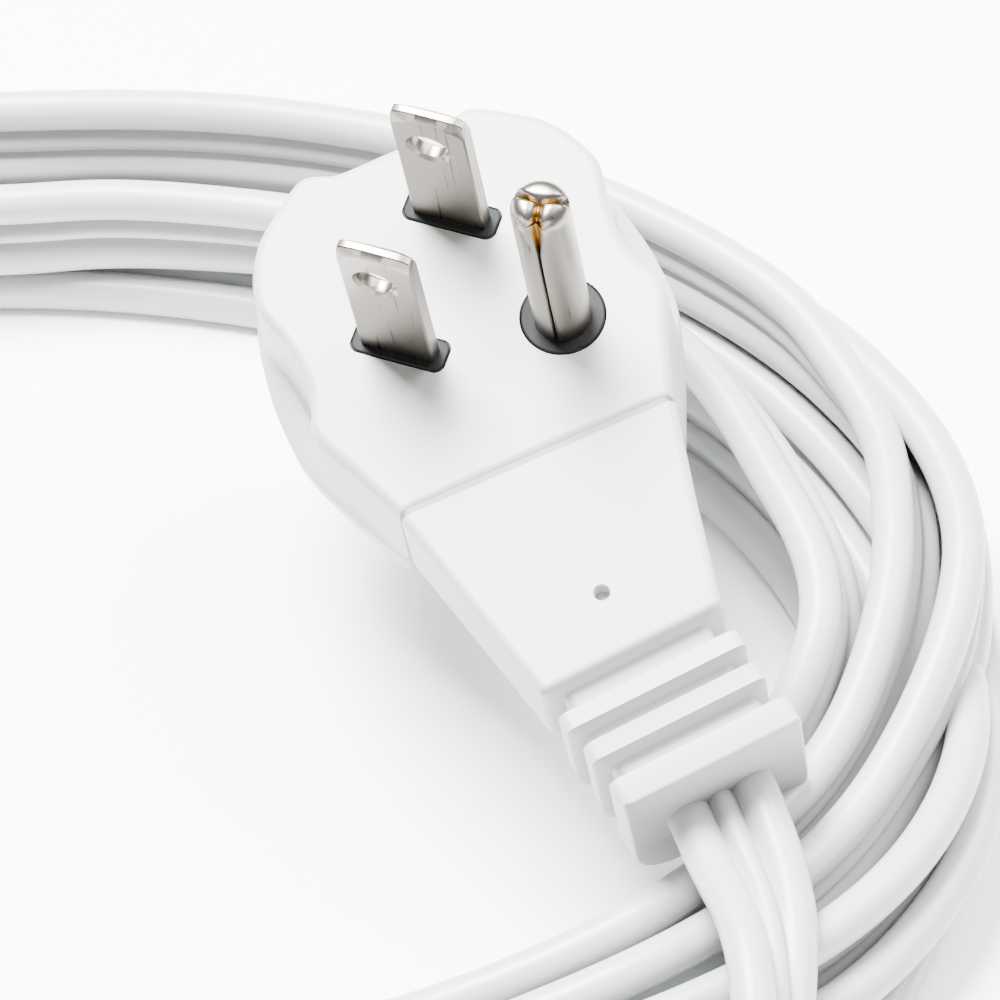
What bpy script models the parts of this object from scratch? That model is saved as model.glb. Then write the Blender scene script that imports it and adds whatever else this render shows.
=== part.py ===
"""A white three-wire extension cord with a flat right-angle plug, lying in an oval coil.

The row's axes: +Z up, the floor at Z = 0, the coil's middle near the origin. The plug lies face up
on the coil and the connector lies on the floor inside it. Each end is modelled in a frame of its
own, held by an empty: the plug's frame has +X along its neck towards the cord, +Y across and +Z
out of the face with the blades; the connector's frame has +X from the cord to the outlet face.
Run it with blender --background --python part.py, or from Blender's text editor.
"""

import math

import bmesh
import bpy
from mathutils import Matrix, Vector

MM = 0.001
GAP = 0.3 * MM

# The cord: a flat three-core lead, 16 gauge, and its three cores.
CORD_TUBE_RADIUS = 2.7 * MM
CORE_RADIUS = 1.5 * MM
CORE_PITCH = 3.1 * MM
COPPER_RADIUS = 0.65 * MM

# The coil: an oval ring that all the turns fit in, lower on its near side, where the lead crosses it.
COIL_MIDDLE = Vector((-3.76, -0.32, 0.0)) * MM
COIL_INNER_X = 69.0 * MM
COIL_INNER_Y = 43.5 * MM
COIL_WIDTH = 17.0 * MM
COIL_HEIGHT = 18.6 * MM
COIL_EDGE_ROUND = 3.0 * MM
COIL_OVAL_POINTS = 48
COIL_NEAR_HEIGHT = 9.6 * MM

# The plug's frame: the middle of its face, its heading, and how far it dips and rolls.
PLUG_AT = COIL_MIDDLE + Vector((38.6, 17.2, 33.4)) * MM
PLUG_ROLL = math.radians(11.65)
PLUG_DIP = math.radians(11.4)
PLUG_HEADING = math.radians(-66.4)

# The plug's body.
HEAD_REACH = 14.2 * MM
SEAM_AT = 18.6 * MM
HEAD_SLAB_THICK = 9.0 * MM
HEAD_THICK = 14.8 * MM
HEAD_EDGE_ROUND = 0.8 * MM
# (distance along the neck, half width) of the gripping face, from the top to the seam.
HEAD_HALF_OUTLINE = (
    (-12.7, 0.0), (-12.8, 4.2), (-13.7, 7.4), (-12.4, 10.0), (-9.8, 12.9),
    (-5.0, 15.3), (-1.5, 14.5), (3.5, 14.2), (7.0, 14.7), (9.0, 15.6), (18.6, 12.1),
)
REAR_HALF_OUTLINE = (
    (-13.0, 0.0), (-12.6, 6.6), (-8.6, 12.2), (-1.0, 15.4), (6.0, 15.2), (13.0, 13.3), (18.6, 11.0),
)
NECK_END = 37.5 * MM
NECK_HALF_WIDTHS = (12.1 * MM, 8.1 * MM)
NECK_THICK = 13.5 * MM
NECK_EDGE_ROUND = 1.0 * MM
NECK_CORE_HALF_WIDTH = 6.9 * MM
NECK_CORE_DROP = 1.7 * MM
RIB_STARTS = (39.8 * MM, 43.0 * MM)
RIB_LENGTH = 1.7 * MM
FLANGE_START = 46.4 * MM
FLANGE_END = 48.6 * MM
RIB_HALF_WIDTH = 8.1 * MM

# The pins of the plug, and the black carrier that holds them.
PIN_TWIST = math.radians(47.5)
BLADE_WIDE = 6.35 * MM
BLADE_THICK = 1.52 * MM
BLADE_CORNER_HEIGHT = 15.7 * MM
BLADE_TIP_RISE = 1.1 * MM
BLADE_HOLE_RADIUS = 1.6 * MM
BLADE_HOLE_HEIGHT = 11.9 * MM
LINE_BLADE_AT = (-4.68 * MM, 2.49 * MM)
NEUTRAL_BLADE_AT = (4.68 * MM, -6.09 * MM)
GROUND_PIN_AT = (8.04 * MM, 6.97 * MM)
GROUND_PIN_RADIUS = 2.4 * MM
GROUND_PIN_HEIGHT = 19.8 * MM
GROUND_PIN_BORE = 1.5 * MM
GROUND_SEAM_WIDTH = 0.35 * MM
PIN_OVERLAP = 0.7 * MM
CARRIER_LOW = Vector((-9.2, -9.9, -7.4)) * MM
CARRIER_HIGH = Vector((12.4, 11.2, -3.0)) * MM
COLLAR_LONG = 8.0 * MM
COLLAR_WIDE = 2.8 * MM
COLLAR_RADIUS = 3.45 * MM
COLLAR_TOP = -0.05 * MM
POCKET_CLEAR = 0.5 * MM
POCKET_FLOOR = -13.2 * MM

# The crimp barrels behind the pins, and the leads that run from them to the neck.
BARREL_LENGTH = 4.0 * MM
BARREL_RADIUS = 1.5 * MM
BARREL_BORE = 0.98 * MM
COPPER_INTO_BARREL = 3.2 * MM
COPPER_SHOWING = 1.0 * MM
CORD_DEPTH = -6.9 * MM
CORD_SIDE = 1.1 * MM
LEAD_STEPS = 20

# The connector's frame: the tip of its strain relief on the floor, and its heading.
SOCKET_AT = COIL_MIDDLE + Vector((-17.5, -29.0, 0.0)) * MM
SOCKET_HEADING = math.radians(130.0)
SOCKET_LENGTH = 50.0 * MM
SOCKET_WIDE = 27.0 * MM
SOCKET_TALL = 25.0 * MM
SOCKET_START = 18.3 * MM
SOCKET_ROUND = 3.0 * MM
SOCKET_CORD_HEIGHT = 11.0 * MM
SOCKET_POCKET_START = 20.5 * MM
SOCKET_WALL = 2.0 * MM
INSERT_START = 30.0 * MM
CONTACT_START = 33.0 * MM
CONTACT_END = 46.0 * MM
CONTACT_SLOT_DEPTH = 10.0 * MM
SLOT_HEIGHT_ABOVE_FLOOR = 18.4 * MM
SLOT_SPREAD = 6.35 * MM
GROUND_DROP = 11.9 * MM
LINE_SLOT = (2.0 * MM, 6.6 * MM)
NEUTRAL_SLOT = (2.0 * MM, 8.0 * MM)
GROUND_HOLE_RADIUS = 2.7 * MM
CONTACT_HALF_WIDTH = 1.9 * MM
CONTACT_HALF_HEIGHT = 3.6 * MM
CONTACT_GRIP = 0.65 * MM
GROUND_CONTACT_RADIUS = 2.95 * MM
GROUND_CONTACT_BORE = 2.4 * MM
SOCKET_BARREL_LENGTH = 4.0 * MM
RELIEF_RIBS = (0.0 * MM, 4.2 * MM, 8.4 * MM, 12.6 * MM)
RELIEF_RIB_LENGTH = 2.0 * MM

# The lead's way from the plug to the coil, and the tail's way from the coil to the connector, in
# millimetres from the coil's middle.
LEAD_ROUTE = (
    (59.54, -24.7, 17.3), (61.8, -30.8, 15.9), (63.4, -37.5, 15.3), (65.2, -44.5, 14.8),
    (65.6, -51.5, 12.6), (63.3, -58.5, 9.2), (58.0, -64.2, 6.3), (50.5, -67.6, 5.0),
    (41.0, -68.6, 4.9), (31.0, -67.9, 4.9), (21.0, -66.6, 4.9), (11.5, -65.2, 4.9),
)
TAIL_ROUTE = (
    (2.0, -39.4, 4.9), (-1.0, -38.2, 5.6), (-5.5, -36.8, 7.4), (-10.0, -34.9, 9.6), (-14.0, -32.2, 11.0),
    (-17.3, -29.24, 11.0),
)
TUBE_STEPS = 4

COLOURS = {
    "white_pvc": ((0.82, 0.82, 0.80), 0.38, 0.0),
    "white_cord": ((0.80, 0.81, 0.82), 0.34, 0.0),
    "black_nylon": ((0.03, 0.032, 0.034), 0.55, 0.0),
    "nickel_plate": ((0.62, 0.59, 0.55), 0.30, 1.0),
    "brass": ((0.72, 0.50, 0.20), 0.32, 1.0),
    "copper": ((0.80, 0.42, 0.26), 0.35, 1.0),
    "green_core": ((0.05, 0.33, 0.12), 0.45, 0.0),
    "black_core": ((0.03, 0.03, 0.03), 0.45, 0.0),
}


def clear_scene():
    for item in list(bpy.data.objects):
        bpy.data.objects.remove(item, do_unlink=True)


def new_collection(name):
    collection = bpy.data.collections.new(name)
    bpy.context.scene.collection.children.link(collection)
    return collection


def make_materials():
    made = {}
    for name, (colour, rough, metal) in COLOURS.items():
        material = bpy.data.materials.new(name)
        material.use_nodes = True
        shader = material.node_tree.nodes["Principled BSDF"]
        shader.inputs["Base Color"].default_value = (*colour, 1.0)
        shader.inputs["Roughness"].default_value = rough
        shader.inputs["Metallic"].default_value = metal
        made[name] = material
    return made


def frame_empty(name, at, turn=(0.0, 0.0, 0.0)):
    empty = bpy.data.objects.new(name, None)
    empty.location = at
    empty.rotation_euler = turn
    PARTS.objects.link(empty)
    return empty


def put(name, mesh, frame, at, turn, material):
    """Links a mesh as a part with a material, or as a hidden cutter without one."""
    item = bpy.data.objects.new(name, mesh)
    item.location = at
    item.rotation_euler = turn
    item.parent = frame
    if material:
        mesh.materials.append(MATERIALS[material])
        PARTS.objects.link(item)
    else:
        item.hide_render = True
        item.display_type = "WIRE"
        CUTTERS.objects.link(item)
    return item


def block(name, low, high, frame, material=None, turn=0.0, middle=None):
    """A box between two corners, turned about its own upright axis, or placed with its middle given."""
    low, high = Vector(low), Vector(high)
    mesh = bpy.data.meshes.new(name)
    shape = bmesh.new()
    bmesh.ops.create_cube(shape, size=1.0)
    bmesh.ops.scale(shape, vec=high - low, verts=shape.verts)
    shape.to_mesh(mesh)
    shape.free()
    at = (low + high) / 2 if middle is None else Vector(middle)
    return put(name, mesh, frame, at, (0.0, 0.0, turn), material)


def rod(name, start, end, radius, frame, material=None, sides=24, end_radius=None):
    """A cylinder or cone between two points."""
    start, end = Vector(start), Vector(end)
    mesh = bpy.data.meshes.new(name)
    shape = bmesh.new()
    bmesh.ops.create_cone(
        shape,
        cap_ends=True,
        segments=sides,
        radius1=radius,
        radius2=radius if end_radius is None else end_radius,
        depth=(end - start).length,
    )
    shape.to_mesh(mesh)
    shape.free()
    mesh.shade_smooth()
    mesh.set_sharp_from_angle(angle=math.radians(40))
    turn = (end - start).to_track_quat("Z", "Y").to_euler()
    return put(name, mesh, frame, (start + end) / 2, turn, material)


def change(target, cutter, operation="DIFFERENCE"):
    step = target.modifiers.new(operation.lower(), "BOOLEAN")
    step.operation = operation
    step.object = cutter
    return target


def soften(target, width, segments=2, angle=35.0):
    step = target.modifiers.new("edges", "BEVEL")
    step.width = width
    step.segments = segments
    step.limit_method = "ANGLE"
    step.angle_limit = math.radians(angle)
    return target


def mesh_of_curve(name, curve, frame, material, at=(0.0, 0.0, 0.0), turn=(0.0, 0.0, 0.0)):
    """The curve's solid as a mesh object, with its caps welded on."""
    holder = bpy.data.objects.new(name + "_curve", curve)
    PARTS.objects.link(holder)
    graph = bpy.context.evaluated_depsgraph_get()
    mesh = bpy.data.meshes.new_from_object(holder.evaluated_get(graph))
    mesh.materials.clear()
    bpy.data.objects.remove(holder, do_unlink=True)
    shape = bmesh.new()
    shape.from_mesh(mesh)
    bmesh.ops.remove_doubles(shape, verts=shape.verts, dist=1e-6)
    bmesh.ops.recalc_face_normals(shape, faces=shape.faces)
    shape.to_mesh(mesh)
    shape.free()
    mesh.name = name
    return put(name, mesh, frame, at, turn, material)


def slab(name, outline, low, high, frame, material=None, round_edge=0.0, holes=(), at=(0, 0, 0), turn=(0, 0, 0)):
    """A flat outline of (x, y) points, extruded from height low to height high."""
    curve = bpy.data.curves.new(name, "CURVE")
    curve.dimensions = "2D"
    curve.fill_mode = "BOTH"
    curve.extrude = (high - low) / 2 - round_edge
    curve.bevel_depth = round_edge
    curve.bevel_resolution = 1
    curve.offset = -round_edge
    for points in (outline, *holes):
        spline = curve.splines.new("POLY")
        spline.points.add(len(points) - 1)
        for target, (x, y) in zip(spline.points, points):
            target.co = (x, y, 0.0, 1.0)
        spline.use_cyclic_u = True
    item = mesh_of_curve(name, curve, frame, material, at, turn)
    item.data.transform(Matrix.Translation((0.0, 0.0, (low + high) / 2)))
    return item


def smooth_points(points, steps):
    """Catmull-Rom points through a route, with a number of steps between each two of its points."""
    ends = [2 * points[0] - points[1], *points, 2 * points[-1] - points[-2]]
    line = []
    for i in range(1, len(ends) - 2):
        a, b, c, d = ends[i - 1 : i + 3]
        for k in range(steps):
            t = k / steps
            line.append(
                0.5 * (2 * b + (c - a) * t + (2 * a - 5 * b + 4 * c - d) * t * t + (3 * b - a - 3 * c + d) * t**3)
            )
    return [*line, points[-1]]


def tube(name, points, radius, frame, material, resolution=2):
    """A round bar along points, with flat ends."""
    curve = bpy.data.curves.new(name, "CURVE")
    curve.dimensions = "3D"
    curve.bevel_depth = radius
    curve.bevel_resolution = resolution
    curve.use_fill_caps = True
    spline = curve.splines.new("POLY")
    spline.points.add(len(points) - 1)
    for target, point in zip(spline.points, points):
        target.co = (*point, 1.0)
    item = mesh_of_curve(name, curve, frame, material)
    item.data.shade_smooth()
    item.data.set_sharp_from_angle(angle=math.radians(50))
    return item


def ease(t):
    return t * t * (3.0 - 2.0 * t)


def mirrored(half, closing=()):
    """A closed outline from its half, given in millimetres as (along, half width)."""
    one = [(x * MM, y * MM) for x, y in half]
    other = [(x, -y) for x, y in reversed(one) if y > 0]
    return [*one, *closing, *other]


def rounded(points, steps=3):
    """The outline with each stretch between its points drawn as a smooth curve."""
    loop = [Vector((x, y, 0.0)) for x, y in points]
    count, line = len(loop), []
    for i in range(count):
        a, b, c, d = (loop[(i + k) % count] for k in (-1, 0, 1, 2))
        for k in range(steps):
            t = k / steps
            p = 0.5 * (2 * b + (c - a) * t + (2 * a - 5 * b + 4 * c - d) * t * t + (3 * b - a - 3 * c + d) * t**3)
            line.append((p.x, p.y))
    return line


def head_outline(half, reach):
    """The head's outline: smooth round its lobes and square at the seam."""
    return [(min(x, reach), y) for x, y in rounded(mirrored(half))]


def turned(point, turn):
    """A (x, y) offset turned about the upright axis."""
    x, y = point
    return Vector((x * math.cos(turn) - y * math.sin(turn), x * math.sin(turn) + y * math.cos(turn), 0.0))


# The cord.


def oval(extra):
    """The coil's oval at a distance outside its inner edge."""
    return [
        (
            (COIL_INNER_X + extra) * math.cos(2 * math.pi * i / COIL_OVAL_POINTS),
            (COIL_INNER_Y + extra) * math.sin(2 * math.pi * i / COIL_OVAL_POINTS),
        )
        for i in range(COIL_OVAL_POINTS)
    ]


def build_coil():
    """One closed ring of the coil's outer shape, with its near side trimmed to a slope."""
    coil = slab(
        "cord_coil",
        oval(COIL_WIDTH),
        0.0,
        COIL_HEIGHT,
        None,
        "white_cord",
        COIL_EDGE_ROUND,
        holes=(oval(0.0),),
        at=COIL_MIDDLE,
    )
    slope_start, slope_end = 2.0 * MM, -(COIL_INNER_Y * 0.45)
    trim = slab(
        "coil_near_trim",
        ((slope_start, 30 * MM), (slope_end, COIL_NEAR_HEIGHT), (-90 * MM, COIL_NEAR_HEIGHT), (-90 * MM, 30 * MM)),
        -110 * MM,
        110 * MM,
        None,
        at=COIL_MIDDLE,
        turn=(math.radians(90), 0.0, math.radians(90)),
    )
    change(coil, trim)
    return coil


def build_cord():
    build_coil()
    for name, route in (("cord_lead", LEAD_ROUTE), ("cord_tail", TAIL_ROUTE)):
        points = smooth_points([COIL_MIDDLE + Vector(p) * MM for p in route], TUBE_STEPS)
        tube(name, points, CORD_TUBE_RADIUS, None, "white_cord", resolution=3)


# The plug.


def pin_openings(frame, name, clear, top, bottom):
    """Cutters for the three collars or the three pins, each wider by a clearance."""
    made = []
    for label, at in (("line", LINE_BLADE_AT), ("neutral", NEUTRAL_BLADE_AT)):
        half = Vector((clear[0] / 2, clear[1] / 2, 0.0))
        low, high = Vector((*at, bottom)) - half, Vector((*at, top)) + half
        made.append(block(f"{label}_{name}", low, high, frame, turn=PIN_TWIST))
    made.append(rod(f"ground_{name}", (*GROUND_PIN_AT, bottom), (*GROUND_PIN_AT, top), clear[2], frame, sides=32))
    return made


def build_head(frame):
    head = slab(
        "plug_head_body",
        head_outline(HEAD_HALF_OUTLINE, SEAM_AT),
        -HEAD_SLAB_THICK,
        0.0,
        frame,
        "white_pvc",
        HEAD_EDGE_ROUND,
    )
    rear = slab(
        "plug_head_rear",
        head_outline(REAR_HALF_OUTLINE, SEAM_AT - 0.01 * MM),
        -HEAD_THICK,
        -HEAD_SLAB_THICK + 2 * MM,
        frame,
        None,
        HEAD_EDGE_ROUND * 1.6,
    )
    change(head, rear, "UNION")
    pocket = block(
        "plug_pocket",
        (CARRIER_LOW.x - POCKET_CLEAR, CARRIER_LOW.y - POCKET_CLEAR, POCKET_FLOOR),
        (SEAM_AT + 5 * MM, CARRIER_HIGH.y + POCKET_CLEAR, CARRIER_HIGH.z + GAP),
        frame,
    )
    change(head, pocket)
    clear = (COLLAR_LONG + 2 * GAP, COLLAR_WIDE + 2 * GAP, COLLAR_RADIUS + GAP)
    for cutter in pin_openings(frame, "collar_opening", clear, 3 * MM, CARRIER_HIGH.z - 1 * MM):
        change(head, cutter)
    return head


def build_carrier(frame):
    carrier = block("pin_carrier", CARRIER_LOW, CARRIER_HIGH, frame, "black_nylon")
    collars = pin_openings(
        frame, "collar", (COLLAR_LONG, COLLAR_WIDE, COLLAR_RADIUS), COLLAR_TOP, CARRIER_HIGH.z - 1 * MM
    )
    for collar in collars:
        change(carrier, collar, "UNION")
    clear = (BLADE_WIDE + 2 * GAP, BLADE_THICK + 2 * GAP, GROUND_PIN_RADIUS + GAP)
    for cutter in pin_openings(frame, "pin_way", clear, 3 * MM, CARRIER_LOW.z - 2 * MM):
        change(carrier, cutter)
    return carrier


def barrel_on(pin, name, at, depth, frame):
    """A crimp barrel at a pin's foot, pointing along the neck, and its bore."""
    x, y = at
    start = (x - 0.8 * MM, y, depth)
    end = (x + BARREL_LENGTH, y, depth)
    change(pin, rod(name + "_barrel", start, end, BARREL_RADIUS, frame, sides=20), "UNION")
    bore_start = (x + BARREL_LENGTH - COPPER_INTO_BARREL - GAP, y, depth)
    change(pin, rod(name + "_bore", bore_start, (x + BARREL_LENGTH + 2 * MM, y, depth), BARREL_BORE, frame, sides=16))
    return Vector(end)


def build_blade(name, at, depth, frame):
    """A flat blade with a rounded tip and a hole, standing on its crimp barrel."""
    half = BLADE_WIDE / 2
    tip = [
        (half * math.cos(a), BLADE_CORNER_HEIGHT + BLADE_TIP_RISE * math.sin(a))
        for a in (math.pi * k / 8 for k in range(9))
    ]
    outline = [(half, depth + PIN_OVERLAP), *tip, (-half, depth + PIN_OVERLAP)]
    hole = [
        (
            BLADE_HOLE_RADIUS * math.cos(2 * math.pi * k / 20),
            BLADE_HOLE_HEIGHT + BLADE_HOLE_RADIUS * math.sin(2 * math.pi * k / 20),
        )
        for k in range(20)
    ]
    blade = slab(
        name,
        outline,
        -BLADE_THICK / 2,
        BLADE_THICK / 2,
        frame,
        "nickel_plate",
        holes=(hole,),
        at=(*at, 0.0),
        turn=(math.radians(90), 0.0, PIN_TWIST),
    )
    return barrel_on(blade, name, at, depth, frame)


def build_ground_pin(frame, depth):
    """The rolled ground pin: a turned tube with a round tip, slit along the side towards the neck."""
    at = Vector((*GROUND_PIN_AT, 0.0))
    r, top, foot = GROUND_PIN_RADIUS, GROUND_PIN_HEIGHT, depth + PIN_OVERLAP
    profile = [(0.0001 * MM, top)]
    profile += [(r - 1.3 * MM * (1 - math.sin(a)), top - 1.3 * MM * (1 - math.cos(a))) for a in (0.0, 0.52, 1.05, 1.5708)]
    profile += [(r, foot), (0.0001 * MM, foot)]
    mesh = bpy.data.meshes.new("ground_pin")
    shape = bmesh.new()
    rings = 32
    line = [shape.verts.new((x, 0.0, z)) for x, z in profile]
    edges = [shape.edges.new(pair) for pair in zip(line, line[1:])]
    bmesh.ops.spin(shape, geom=line + edges, cent=(0, 0, 0), axis=(0, 0, 1), angle=2 * math.pi, steps=rings)
    bmesh.ops.remove_doubles(shape, verts=shape.verts, dist=0.001 * MM)
    bmesh.ops.recalc_face_normals(shape, faces=shape.faces)
    shape.to_mesh(mesh)
    shape.free()
    mesh.shade_smooth()
    mesh.set_sharp_from_angle(angle=math.radians(40))
    pin = put("ground_pin", mesh, frame, at, (0.0, 0.0, 0.0), "nickel_plate")
    end = barrel_on(pin, "ground_pin", GROUND_PIN_AT, depth, frame)
    bore = rod("ground_pin_hollow", at + Vector((0, 0, foot + 3 * MM)), at + Vector((0, 0, top - 2 * MM)),
               GROUND_PIN_BORE, frame, sides=20)
    change(pin, bore)
    slit_low = at + Vector((0.0, -GROUND_SEAM_WIDTH / 2, foot + 4 * MM))
    slit_high = at + Vector((5 * MM, GROUND_SEAM_WIDTH / 2, top + 2 * MM))
    change(pin, block("ground_pin_slit", slit_low, slit_high, frame))
    return end


def lead_points(start, end, across, upward):
    """A lead from its crimp to its lane in the cord; each move happens between two places along X."""
    line = []
    for k in range(LEAD_STEPS + 1):
        x = start.x + (end.x - start.x) * k / LEAD_STEPS
        side, rise = (ease(min(1.0, max(0.0, (x - a) / (b - a)))) for a, b in (across, upward))
        line.append(Vector((x, start.y + (end.y - start.y) * side, start.z + (end.z - start.z) * rise)))
    return line


def build_lead(side, label, material, barrel_end, lane_end, bends, frame):
    """The bare copper in a crimp barrel, and the insulated lead that runs on from it."""
    along = Vector((1.0 if lane_end.x > barrel_end.x else -1.0, 0.0, 0.0))
    inner, outer = barrel_end - along * COPPER_INTO_BARREL, barrel_end + along * COPPER_SHOWING
    rod(f"{side}_{label}_copper", inner, outer, COPPER_RADIUS, frame, "copper", sides=12)
    points = lead_points(outer + along * GAP, lane_end, *bends)
    tube(f"{side}_{label}_lead", points, CORE_RADIUS, frame, material)


def build_neck(frame):
    """The strain relief: a tapered neck, a thinner core and three ribs, with a way through for the leads."""
    wide, narrow = NECK_HALF_WIDTHS
    start = SEAM_AT + GAP
    outline = ((start, wide), (NECK_END, narrow), (NECK_END, -narrow), (start, -wide))
    neck = slab("strain_relief_neck", outline, -NECK_THICK, 0.0, frame, "white_pvc", NECK_EDGE_ROUND)
    core = block(
        "neck_core",
        (NECK_END - 2 * MM, -NECK_CORE_HALF_WIDTH, -NECK_THICK + NECK_CORE_DROP),
        (FLANGE_END - 0.5 * MM, NECK_CORE_HALF_WIDTH, -NECK_CORE_DROP),
        frame,
    )
    change(neck, core, "UNION")
    ribs = [(at, at + RIB_LENGTH) for at in RIB_STARTS] + [(FLANGE_START, FLANGE_END)]
    for number, (low, high) in enumerate(ribs, 1):
        rib = block(
            f"neck_rib_{number}", (low, -RIB_HALF_WIDTH, -NECK_THICK), (high, RIB_HALF_WIDTH, 0.0), frame
        )
        soften(rib, 0.6 * MM)
        change(neck, rib, "UNION")
    ways = (
        ("wide", start - 1 * MM, start + 14 * MM, 8.7 * MM, -12.5 * MM, CORD_DEPTH + 2.2 * MM),
        ("lane", start + 13 * MM, FLANGE_END + 1 * MM, CORE_PITCH + CORE_RADIUS + GAP,
         CORD_DEPTH - CORE_RADIUS - GAP, CORD_DEPTH + CORE_RADIUS + GAP),
    )
    for label, low, high, half, floor, roof in ways:
        side = 0.0 if label == "wide" else CORD_SIDE
        change(neck, block(f"neck_way_{label}", (low, side - half, floor), (high, side + half, roof), frame))
    return neck


def build_plug():
    frame = frame_empty("plug_frame", PLUG_AT, (PLUG_ROLL, PLUG_DIP, PLUG_HEADING))
    build_head(frame)
    build_carrier(frame)
    build_neck(frame)
    line_end = build_blade("line_blade", LINE_BLADE_AT, -9.2 * MM, frame)
    neutral_end = build_blade("neutral_blade", NEUTRAL_BLADE_AT, -9.2 * MM, frame)
    ground_end = build_ground_pin(frame, -10.6 * MM)
    lane = FLANGE_END
    leads = (
        ("line", "black_core", line_end, CORE_PITCH, (15.0, 24.0), (13.0, 20.0)),
        ("ground", "green_core", ground_end, 0.0, (15.0, 24.5), (24.8, 32.0)),
        ("neutral", "white_cord", neutral_end, -CORE_PITCH, (14.0, 27.0), (13.5, 23.0)),
    )
    for label, material, end, side, across, upward in leads:
        bends = [(a * MM, b * MM) for a, b in (across, upward)]
        build_lead("plug", label, material, end, Vector((lane, CORD_SIDE + side, CORD_DEPTH)), bends, frame)


# The connector.


def build_socket_body(frame):
    half = SOCKET_WIDE / 2
    body = block("connector_body", (SOCKET_START, -half, 0.0), (SOCKET_LENGTH, half, SOCKET_TALL), frame, "white_pvc")
    soften(body, SOCKET_ROUND, segments=3)
    wall = SOCKET_WALL
    pocket = block(
        "connector_pocket",
        (SOCKET_POCKET_START, -half + wall, wall),
        (SOCKET_LENGTH + 5 * MM, half - wall, SOCKET_TALL - wall),
        frame,
    )
    change(body, pocket)
    way = CORE_PITCH + CORE_RADIUS + GAP
    low = (SOCKET_START - 2 * MM, -way, SOCKET_CORD_HEIGHT - CORE_RADIUS - GAP)
    high = (SOCKET_POCKET_START + 2 * MM, way, SOCKET_CORD_HEIGHT + CORE_RADIUS + GAP)
    change(body, block("connector_cord_way", low, high, frame))
    return body


def build_socket_relief(frame):
    """A ribbed taper from the cord up to the body."""
    end = SOCKET_START - GAP
    middle = Vector((0.0, 0.0, SOCKET_CORD_HEIGHT))
    core = Vector((0.0, 6.2 * MM, 4.2 * MM))
    relief = block(
        "connector_strain_relief", middle - core, middle + core + Vector((end, 0.0, 0.0)), frame, "white_pvc"
    )
    soften(relief, 1.2 * MM)
    for number, at in enumerate(RELIEF_RIBS, 1):
        grow = 0.35 * MM * number
        half = core + Vector((0.0, 1.2 * MM + grow, 1.2 * MM + grow))
        rib = block(
            f"relief_rib_{number}",
            middle - half + Vector((max(at, 0.0), 0.0, 0.0)),
            middle + half + Vector((at + RELIEF_RIB_LENGTH, 0.0, 0.0)),
            frame,
        )
        soften(rib, 0.6 * MM)
        change(relief, rib, "UNION")
    way = Vector((0.0, CORE_PITCH + CORE_RADIUS + GAP, CORE_RADIUS + GAP))
    change(relief, block("relief_way", middle - way - Vector((MM, 0, 0)), middle + way + Vector((end + MM, 0, 0)), frame))
    return relief


def contact_places():
    """(label, across, height, slot) of the three contacts."""
    low = SLOT_HEIGHT_ABOVE_FLOOR - GROUND_DROP
    return (
        ("line", SLOT_SPREAD, SLOT_HEIGHT_ABOVE_FLOOR, LINE_SLOT),
        ("neutral", -SLOT_SPREAD, SLOT_HEIGHT_ABOVE_FLOOR, NEUTRAL_SLOT),
        ("ground", 0.0, low, None),
    )


def build_socket_insert(frame):
    """The block that closes the body's mouth, with a slot and a chamber for each contact."""
    half, wall = SOCKET_WIDE / 2, SOCKET_WALL + GAP
    insert = block(
        "outlet_face_insert",
        (INSERT_START, -half + wall, wall),
        (SOCKET_LENGTH, half - wall, SOCKET_TALL - wall),
        frame,
        "white_pvc",
    )
    chamber_start, chamber_end = INSERT_START - 2 * MM, CONTACT_END + GAP
    for label, across, height, slot in contact_places():
        if slot:
            side, rise = CONTACT_HALF_WIDTH + GAP, CONTACT_HALF_HEIGHT + GAP
            low = (chamber_start, across - side, height - rise)
            high = (chamber_end, across + side, height + rise)
            change(insert, block(f"{label}_chamber", low, high, frame))
            low = (chamber_end - MM, across - slot[0] / 2, height - slot[1] / 2)
            high = (SOCKET_LENGTH + MM, across + slot[0] / 2, height + slot[1] / 2)
            change(insert, block(f"{label}_slot", low, high, frame))
        else:
            start, end = (chamber_start, across, height), (chamber_end, across, height)
            change(insert, rod(f"{label}_chamber", start, end, GROUND_CONTACT_RADIUS + GAP, frame, sides=32))
            start, end = (chamber_end - MM, across, height), (SOCKET_LENGTH + MM, across, height)
            change(insert, rod(f"{label}_hole", start, end, GROUND_HOLE_RADIUS, frame, sides=32))
    return insert


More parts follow.
